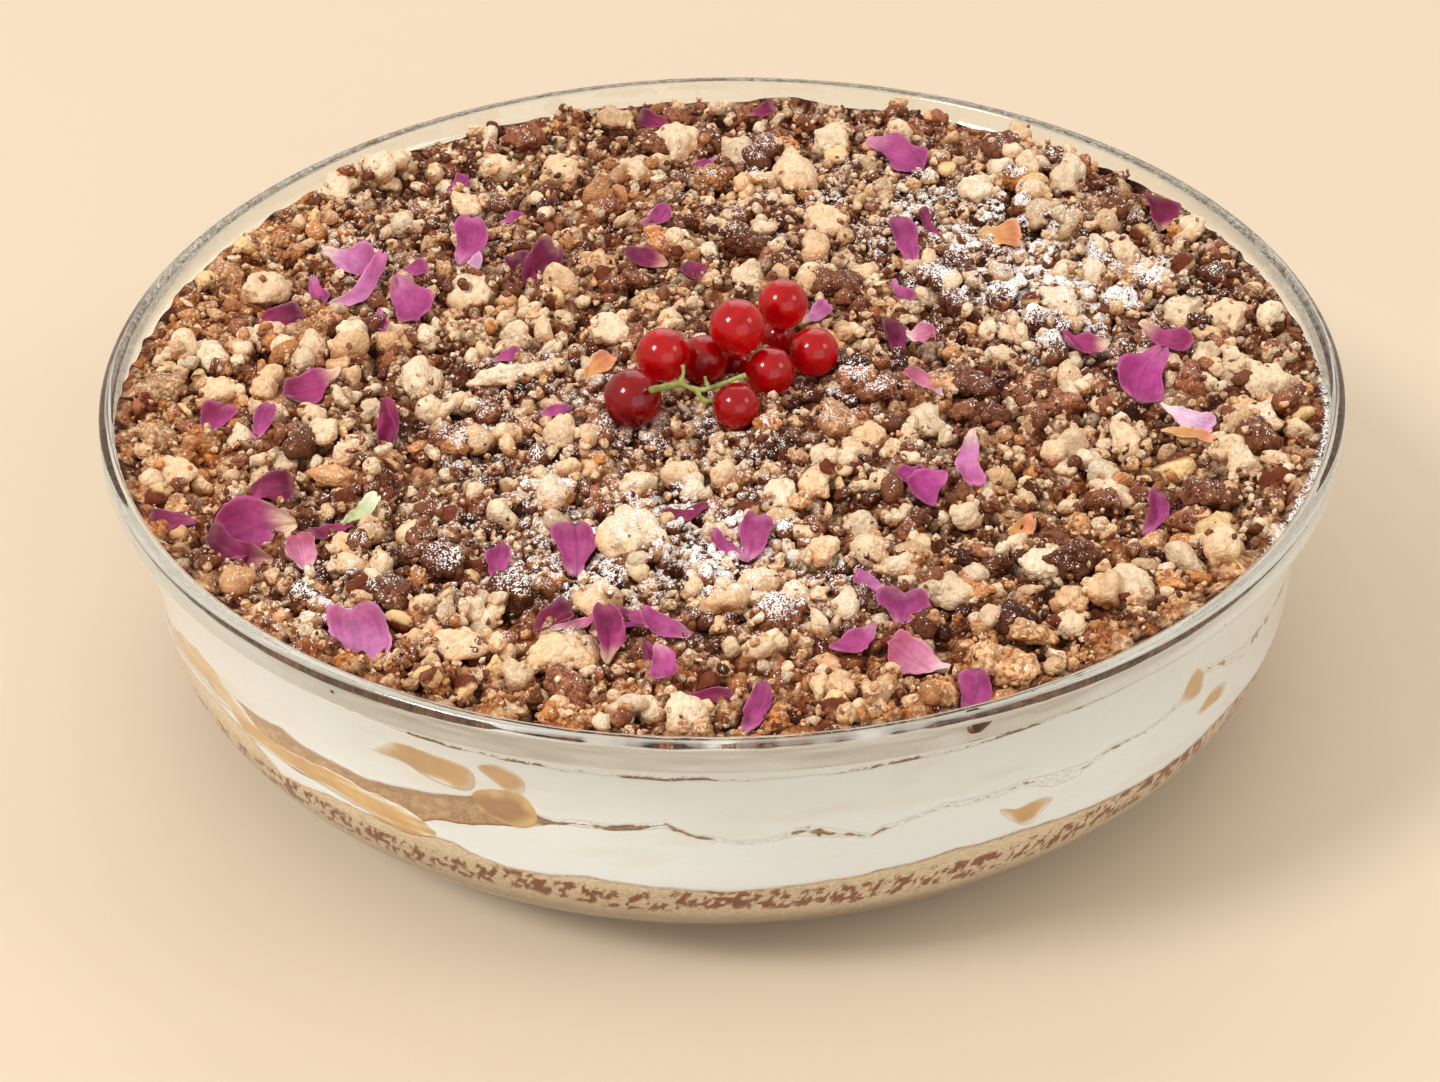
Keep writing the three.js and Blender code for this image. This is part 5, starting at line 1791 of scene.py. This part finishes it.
@dataclass
class Crumble:
    """Crumble heap: its core, large pieces first, then ever smaller ones."""

    bowl: GlassBowl
    petals: Petals
    shape: HeapShape = field(default_factory=HeapShape)
    seed: int = 11
    grid: int = 292
    edge_reach: float = 0.1
    skirt: int = 10
    small_nuggets: int = 560
    groups: int = 120
    clumps: int = 142
    nut_pieces: int = 90
    crumbs: int = 2300
    granules: int = 6200
    bedded_lumps: int = 1500
    bedded_grains: int = 15000
    petal_margin: float = 0.4
    margin: float = 0.1
    most_cut: float = 5.0
    ground: GrainFinish = GrainFinish(
        "crumble_ground", grains=1200, contrast=0.6, bump_depth=0.0006)
    pale: GrainFinish = GrainFinish("pale_crumb", grains=1250, contrast=0.2, specks=0.012, bump=0.7)
    rough: GrainFinish = GrainFinish("dark_crumb", grains=1250, contrast=0.6, specular=0.22)
    loose: GrainFinish = GrainFinish("loose_crumb", grains=1500, contrast=0.35, bump=0.7)

    def __post_init__(self) -> None:
        """Starts the random draws, the map of heights and the empty batches."""
        self.rng = np.random.default_rng(self.seed)
        self.heap = HeightMap(self.shape)
        self.large = Batch(
            "nuggets_large", self.heap, self.pale, 4, 21, 0.4,
            lambda lumps: lumps.grained(lumps.streusel(20), 30, (0.16, 0.34), 0.6), 0.8, rough=0.4)
        self.dark = Batch(
            "clumps_dark", self.heap, self.rough, 4, 22, 0.5,
            lambda lumps: lumps.grained(lumps.angular(9), 60, (0.14, 0.36)))
        self.nuts = Batch("nut_pieces", self.heap, self.pale, 3, 23, 0.8, Lumps.chopped, 0.5)
        self.small = Batch(
            "nuggets_small", self.heap, self.pale, 3, 24, 0.7, lambda lumps: lumps.streusel(9), 0.8)
        self.fine, self.tiny = (
            Batch(name, self.heap, self.loose, subdivisions, seed, 0.9,
                  lambda lumps: lumps.angular(6), faceted=True)
            for name, subdivisions, seed in (("crumbs_fine", 2, 25), ("granules", 1, 26)))

    def build(self) -> None:
        """Settles every piece of the heap, each on those before it, and then makes them."""
        self.lay_ground()
        self.keep_clear()
        self.core()
        self.place_large()
        self.place_clumps()
        self.petals.settle_small(self.heap)
        for vertices, _, _ in self.petals.small:
            self.heap.cover(vertices, self.margin)
        self.place_groups()
        self.place_many(self.fine, self.crumbs, (0.7, 1.7), 0.35)
        self.place_many(self.tiny, self.granules, (0.4, 0.85), 0.3)
        for batch in (self.large, self.dark, self.nuts, self.small, self.fine, self.tiny):
            batch.build()

    def draw_place(self) -> tuple[float, float]:
        """Even draw over the heap: the square root of a draw for the radius, and any turn.

        Returns:
            The place.
        """
        radius = self.shape.reach * math.sqrt(self.rng.random())
        turn = self.rng.uniform(0, 2 * math.pi)
        return radius * math.cos(turn), radius * math.sin(turn)

    def draw_kind(self, x: float, y: float) -> Kind:
        """Kind by the zone: golden along the front and left, else pale, tan and dark.

        Args:
            x: place.
            y: place.
        Returns:
            The kind.
        """
        golden = self.golden_at(x, y)
        fewer = 0.2 * golden
        chance = np.array([0.36 - fewer, 0.16, 0.1 + 0.5 * golden, 0.02, 0.42 - fewer])
        return list(Kind)[self.rng.choice(len(Kind), p=chance / chance.sum())]

    @staticmethod
    def golden_at(x: float, y: float) -> float:
        """Golden share at one place."""
        return float(golden_zone(np.array([x]), np.array([y]))[0])

    def lay_ground(self) -> None:
        """Covers the bare heap with bedded lumps, and those with bedded grains."""
        rng = self.rng
        brown, gold = (np.array([tone.light for tone in tones]) for tones in (
            (Tone.CHOCOLATE, Tone.BROWN, Tone.GREY_BROWN, Tone.TAN, Tone.PALE),
            (Tone.BROWN, Tone.GOLD, Tone.GOLD, Tone.TAN, Tone.PALE_WARM)))
        for count, smallest, extra, lifts, blend, shares in (
                (self.bedded_lumps, 1.8, 2.4, (-0.7, -0.1), 1.0, [0.3, 0.6, 0.82, 0.94]),
                (self.bedded_grains, 0.6, 1.0, (-0.55, 0.3), 0.5, [0.2, 0.42, 0.62, 0.8])):
            radius = (self.shape.reach + 2.5) * np.sqrt(rng.random(count))
            turn = rng.uniform(0, 2 * math.pi, count)
            x, y = radius * np.cos(turn), radius * np.sin(turn)
            which = np.searchsorted(shares, rng.random(count))
            colours = mixed(brown[which], gold[which], golden_zone(x, y))
            colours = colours * rng.uniform(0.75, 1.2, (count, 1))
            sizes = smallest + extra * rng.random(count) ** 1.6
            self.heap.bed(rng, np.stack([x, y], -1), sizes, colours, lifts, blend)

    def keep_clear(self) -> None:
        """Keeps the room below the larger petals and the berries free.

        A berry's underside lies at z - sqrt(radius^2 - out^2), at a distance out from its axis.
        """
        for _, vertices, _, _ in self.petals.shaped:
            self.heap.cover(vertices, self.petal_margin)
        share, turn = np.meshgrid(np.linspace(0, 1, 24), np.linspace(0, FULL_TURN, 60))
        for x, y, z, radius in BERRIES:
            out = share * radius
            under = z - np.sqrt(radius ** 2 - out ** 2)
            points = np.stack([x + out * np.cos(turn), y + out * np.sin(turn), under], -1)
            self.heap.cover(points.reshape(-1, 3), self.margin)
        self.heap.z = np.clip(self.heap.ceiling, self.shape.edge - self.most_cut, self.heap.z)

    def place_large(self) -> None:
        """Largest pieces at their own places, the broadest first."""
        letters = {kind.name[0]: kind for kind in Kind}
        batches = {Kind.DARK: self.dark, Kind.NUT: self.nuts}
        lines = [row.split() for row in LARGE_ROWS.replace("\n", ";").split(";") if row]
        pieces = [(letters[letter], *map(float, numbers)) for letter, *numbers in lines]
        for kind, x, y, width, depth in sorted(pieces, key=lambda piece: -piece[3] * piece[4]):
            axes = np.array([width / 2, depth / 2, 0.42 * min(width, depth)])
            batch, heading = batches.get(kind, self.large), self.rng.uniform(-0.5, 0.5)
            batch.add(x, y, axes, heading, 0.3, kind, 0.85)

    def place_clumps(self) -> None:
        """Dark clumps and chopped nuts between the largest pieces."""
        rng, heap = self.rng, self.heap
        while len(self.dark.places) < self.clumps or len(self.nuts.places) < self.nut_pieces:
            x, y = self.draw_place()
            size = rng.uniform(1.8, 4.2)
            axes = size * rng.uniform(0.75, 1.2, 3) * (1, 1, 0.85)
            if heap.at(heap.taken, x, y):
                continue
            if rng.random() < 0.3 and len(self.nuts.places) < self.nut_pieces:
                self.nuts.add(x, y, axes * 0.7, rng.uniform(0, HALF_TURN), 0.3, Kind.NUT, 0.8)
            elif len(self.dark.places) < self.clumps:
                golden = rng.random() <= 0.25 + 0.5 * self.golden_at(x, y)
                kind = Kind.GOLDEN if golden else Kind.DARK
                self.dark.add(x, y, axes, rng.uniform(0, HALF_TURN), 0.34, kind, 0.7)

    def place_groups(self) -> None:
        """Small nuggets, two in three of them in groups of one kind."""
        rng, heap = self.rng, self.heap
        middles = [self.draw_place() for _ in range(self.groups)]
        kinds = [Kind.PALE if rng.random() < 0.75 else Kind.TAN for _ in middles]
        while len(self.small.places) < self.small_nuggets:
            pick = rng.integers(self.groups)
            kind = kinds[pick]
            x, y = np.array(middles[pick]) + rng.normal(0, 3.2, 2)
            if rng.random() < 0.33:
                x, y = self.draw_place()
                kind = self.draw_kind(x, y)
            if math.hypot(x, y) > self.shape.reach or heap.at(heap.taken, x, y):
                continue
            axes = (1.1 + 1.7 * rng.random() ** 1.5) * rng.uniform(0.7, 1.4, 3)
            self.small.add(x, y, axes, rng.uniform(0, HALF_TURN), 0.3, kind, 0.7)

    def place_many(self, batch: Batch, count: int, sizes: tuple[float, float], sink: float) -> None:
        """Many bodies of one size range over the whole heap, few of them on larger ones.

        Args:
            batch: the bodies.
            count: how many.
            sizes: smallest and largest half size.
            sink: share that sinks in.
        """
        rng, heap = self.rng, self.heap
        for _ in range(4 * count):
            if len(batch.places) == count:
                break
            x, y = self.draw_place()
            if heap.at(heap.taken, x, y) and rng.random() > 0.04:
                continue
            kind = self.draw_kind(x, y)
            size = sizes[0] + (sizes[1] - sizes[0]) * rng.random() ** 1.7
            axes = size * rng.uniform(0.6, 1.4, 3)
            batch.add(x, y, axes, rng.uniform(0, HALF_TURN), sink, kind)

    def core(self) -> None:
        """Core: a square grid drawn out to a disc, a skirt down the glass and a flat bottom.

        A grid point (s, t) lands at s sqrt(1 - t^2/2), t sqrt(1 - s^2/2) of the disc.
        """
        line = np.linspace(-1, 1, self.grid)
        s, t = np.meshgrid(line, line, indexing="ij")
        disc_x, disc_y = s * np.sqrt(1 - t ** 2 / 2), t * np.sqrt(1 - s ** 2 / 2)
        azimuth = np.degrees(np.arctan2(disc_x, -disc_y))
        rim_height = self.shape.edge_height(azimuth)
        rim = self.bowl.inner_radius(rim_height) + self.edge_reach
        x, y = disc_x * rim, disc_y * rim
        near_rim = smooth_step(np.hypot(disc_x, disc_y), 0.975, 1.0)
        z = self.heap.between(self.heap.z, x, y) * (1 - near_rim) + rim_height * near_rim
        number = np.arange(z.size).reshape(z.shape)
        quads = np.stack([number[:-1, :-1], number[1:, :-1], number[1:, 1:], number[:-1, 1:]], -1)
        border = np.concatenate([
            number[:-1, 0], number[-1, :-1], number[:0:-1, -1], number[0, :0:-1]])
        turn, count = azimuth.ravel()[border], len(border)
        share = np.linspace(0, 1, self.skirt + 1)[1:, None]
        heights = rim_height.ravel()[border] * (1 - share) + CREAM_TOP.height(turn) * share
        side = around(self.bowl.inner_radius(heights) + self.edge_reach, heights, turn)
        rings = np.concatenate([side, (side[-1] * (0.5, 0.5, 1))[None]])
        ring_numbers = np.concatenate([
            border[None], z.size + np.arange(len(rings) * count).reshape(-1, count)])
        after = np.roll(ring_numbers, -1, axis=1)
        walls = np.stack([ring_numbers[:-1], ring_numbers[1:], after[1:], after[:-1]], -1)
        middle = np.full(count, z.size + len(rings) * count)
        fan = np.stack([ring_numbers[-1], middle, after[-1]], -1)
        vertices = np.concatenate([
            np.stack([x, y, z], -1).reshape(-1, 3), rings.reshape(-1, 3), [[0, 0, CREAM_TOP.mean]]])
        faces = [quads.reshape(-1, 4), walls.reshape(-1, 4), fan]
        new_piece("crumble_core", (vertices, faces), self.ground.build(),
                  ("crumble_top",), self.core_tint(vertices, z.size))

    def core_tint(self, vertices: Array, top_count: int) -> Array:
        """Colours of the bedded grains on top, with painted shade in the hollows, and of the skirt.

        Args:
            vertices: the core's points.
            top_count: how many of them are its top.
        Returns:
            Tint of each point.
        """
        x, y, _ = vertices.T
        fine = lattice_noise(vertices, 1.2, 93) + 0.5 * lattice_noise(vertices, 0.7, 94)
        raised = self.heap.at(self.heap.raised(4), x, y)
        colour = self.heap.at(self.heap.colour, x, y) * (1 + 0.15 * fine)[:, None]
        # Painted shade: grains that lie below their neighbours are darkened and browned.
        colour = deepened(colour, 0.25 + 0.75 * smooth_step(raised, -0.8, 0.3))
        on_top = np.arange(len(vertices)) < top_count
        # Painted shade: the skirt down the glass is dark like the shaded gap between heap and
        # glass, mottled with grey-brown crumb, turning to pale cream towards the back.
        rim = mixed(Tone.RIM_SHADE.light, Tone.GREY_BROWN.light, 0.3 + 0.4 * fine)
        away = np.abs(np.degrees(np.arctan2(x, -y)))
        rim = mixed(rim, Tone.HAZE.light, 0.85 * smooth_step(away, 88, 115))
        colour = np.where(on_top[:, None], colour, rim)
        dust = smooth_step(np.hypot(x, y), 115.1, 116.0) * smooth_step(x - 0.3 * np.abs(y), 60, 90)
        sugar = (0.12 + 0.65 * sugar_zone(x, y)) * smooth_step(raised, -0.6, 0.3)
        return with_sugar(held(colour), np.where(on_top, np.maximum(sugar, 0.6 * dust), 0.4 * dust))


# ---------- stage ----------

@dataclass(frozen=True)
class Lamp:
    """Square soft light that looks at the bowl, from a way and a distance in metres."""

    name: str
    way: Triple
    distance: float
    size: float
    watts: float
    colour: Triple = (1.0, 1.0, 1.0)

    def build(self) -> None:
        """Makes the light and turns its face to the bowl."""
        lamp = bpy.data.lights.new(self.name, "AREA")
        lamp.size = self.size
        lamp.energy = self.watts
        lamp.color = self.colour
        light = linked(self.name, lamp)
        direction = unit(np.array(self.way))
        light.location = direction * self.distance
        light.rotation_euler = Vector(direction).to_track_quat("Z", "Y").to_euler()


@dataclass
class Studio:
    """Floor, lights and camera."""

    floor_colour: Colour = (219, 200, 176)
    floor_half: float = 6.0
    lamps: tuple[Lamp, ...] = (
        Lamp("key_light", (-0.55, -0.30, 0.77), 1.4, 0.34, 9.4),
        Lamp("back_light", (0.1, 0.8, 0.6), 1.6, 1.2, 6.6),
        Lamp("side_light", (0.7, -0.2, 0.6), 1.5, 0.45, 2.6, (1.0, 0.98, 0.95)),
        Lamp("front_light", (0.42, -1.0, 0.3), 1.8, 1.6, 8.0, (0.92, 0.96, 1.0)))
    world_colour: tuple[float, ...] = (1.0, 0.958, 0.888, 1.0)
    world_strength: float = 0.74
    elevation: float = 34.909
    roll: float = 0.998
    distance: float = 711.914
    aim: tuple[float, float] = (-0.818, 18.343)
    lens: float = 87.0
    sensor: float = 36.0

    def build(self) -> None:
        """Makes the stage."""
        self.make_floor()
        for lamp in self.lamps:
            lamp.build()
        self.make_world()
        self.make_camera()

    def make_floor(self) -> None:
        """Large plain floor."""
        half = self.floor_half
        mesh = bpy.data.meshes.new("floor")
        corners = [(-half, -half, 0), (half, -half, 0), (half, half, 0), (-half, half, 0)]
        mesh.from_pydata(corners, [], [(0, 1, 2, 3)])
        mesh.materials.append(PlainFinish("floor_paper", self.floor_colour).build())
        floor = linked("floor", mesh)

    def make_world(self) -> None:
        """Soft warm light from all round."""
        world = bpy.data.worlds.new("studio")
        world.use_nodes = True
        background = world.node_tree.nodes["Background"]
        background.inputs["Color"].default_value = self.world_colour
        background.inputs["Strength"].default_value = self.world_strength
        bpy.context.scene.world = world
        bpy.context.scene.view_settings.view_transform = "Standard"

    def make_camera(self) -> None:
        """Camera in front, looking down at the bowl."""
        rise, roll = math.radians(self.elevation), math.radians(self.roll)
        right = np.array([1.0, 0, 0])
        ahead = np.array([0, math.cos(rise), -math.sin(rise)])
        up = np.array([0, math.sin(rise), math.cos(rise)])
        place = (right * self.aim[0] + up * self.aim[1] - ahead * self.distance) * MM
        turned_right = right * math.cos(roll) - up * math.sin(roll)
        turned_up = right * math.sin(roll) + up * math.cos(roll)
        lens = bpy.data.cameras.new("camera")
        lens.lens = self.lens
        lens.sensor_width = self.sensor
        lens.clip_start = 0.01
        camera = linked("camera", lens)
        columns = np.stack([turned_right, turned_up, -ahead, place], axis=1)
        camera.matrix_world = Matrix([*columns.tolist(), (0, 0, 0, 1)])
        bpy.context.scene.camera = camera


def layers(bowl: GlassBowl) -> list[Layer]:
    """The four layers from the bottom up.

    Args:
        bowl: the bowl that they fill.
    Returns:
        The layers.
    """
    cream = GrainFinish("smooth_cream", Tone.CRUMB_DARK, grains=1800, contrast=0.02, specks=0.0,
                        bump=0.05, roughness=0.45, flatten=1.8)
    crumb = GrainFinish("damp_crumb", Tone.CRUMB_RED, grains=1900, contrast=0.2, specks=0.0,
                        bump=0.3, flatten=2.4)
    pocket = GrainFinish("pocket_crumb", Tone.CRUMB_DARK, grains=1900, contrast=0.2, specks=0.0,
                         bump=0.3, flatten=1.8)
    return [
        Layer(bowl, "base_crumb", "crumb_base", "crumb", None, BASE_TOP, CRUMB_REACH,
              WallPoints.base, crumb, 40),
        Layer(bowl, "lower_cream", "cream_lower", "cream", BASE_TOP, CREAM_LOWER_TOP, CREAM_REACH,
              WallPoints.cream, cream),
        Layer(bowl, "middle_crumb", "crumb_middle", "crumb", CREAM_LOWER_TOP, CRUMB_MIDDLE_TOP,
              CRUMB_REACH, WallPoints.middle, pocket, 12),
        Layer(bowl, "upper_cream", "cream_upper", "cream", CRUMB_MIDDLE_TOP, CREAM_TOP, CREAM_REACH,
              WallPoints.cream, cream)]


def main() -> None:
    """Builds the trifle from the bowl up, each piece reported as it is made, then the stage."""
    logging.basicConfig(level=logging.INFO, format="%(name)s %(message)s")
    bowl = GlassBowl()
    petals = Petals()
    petals.shape()
    for part in (bowl, *layers(bowl), CreamFilm(bowl), Caramel(bowl), Currants(),
                 Crumble(bowl, petals), petals, Studio()):
        LOG.info("building %s", type(part).__name__)
        part.build()


if __name__ == "__main__":
    main()
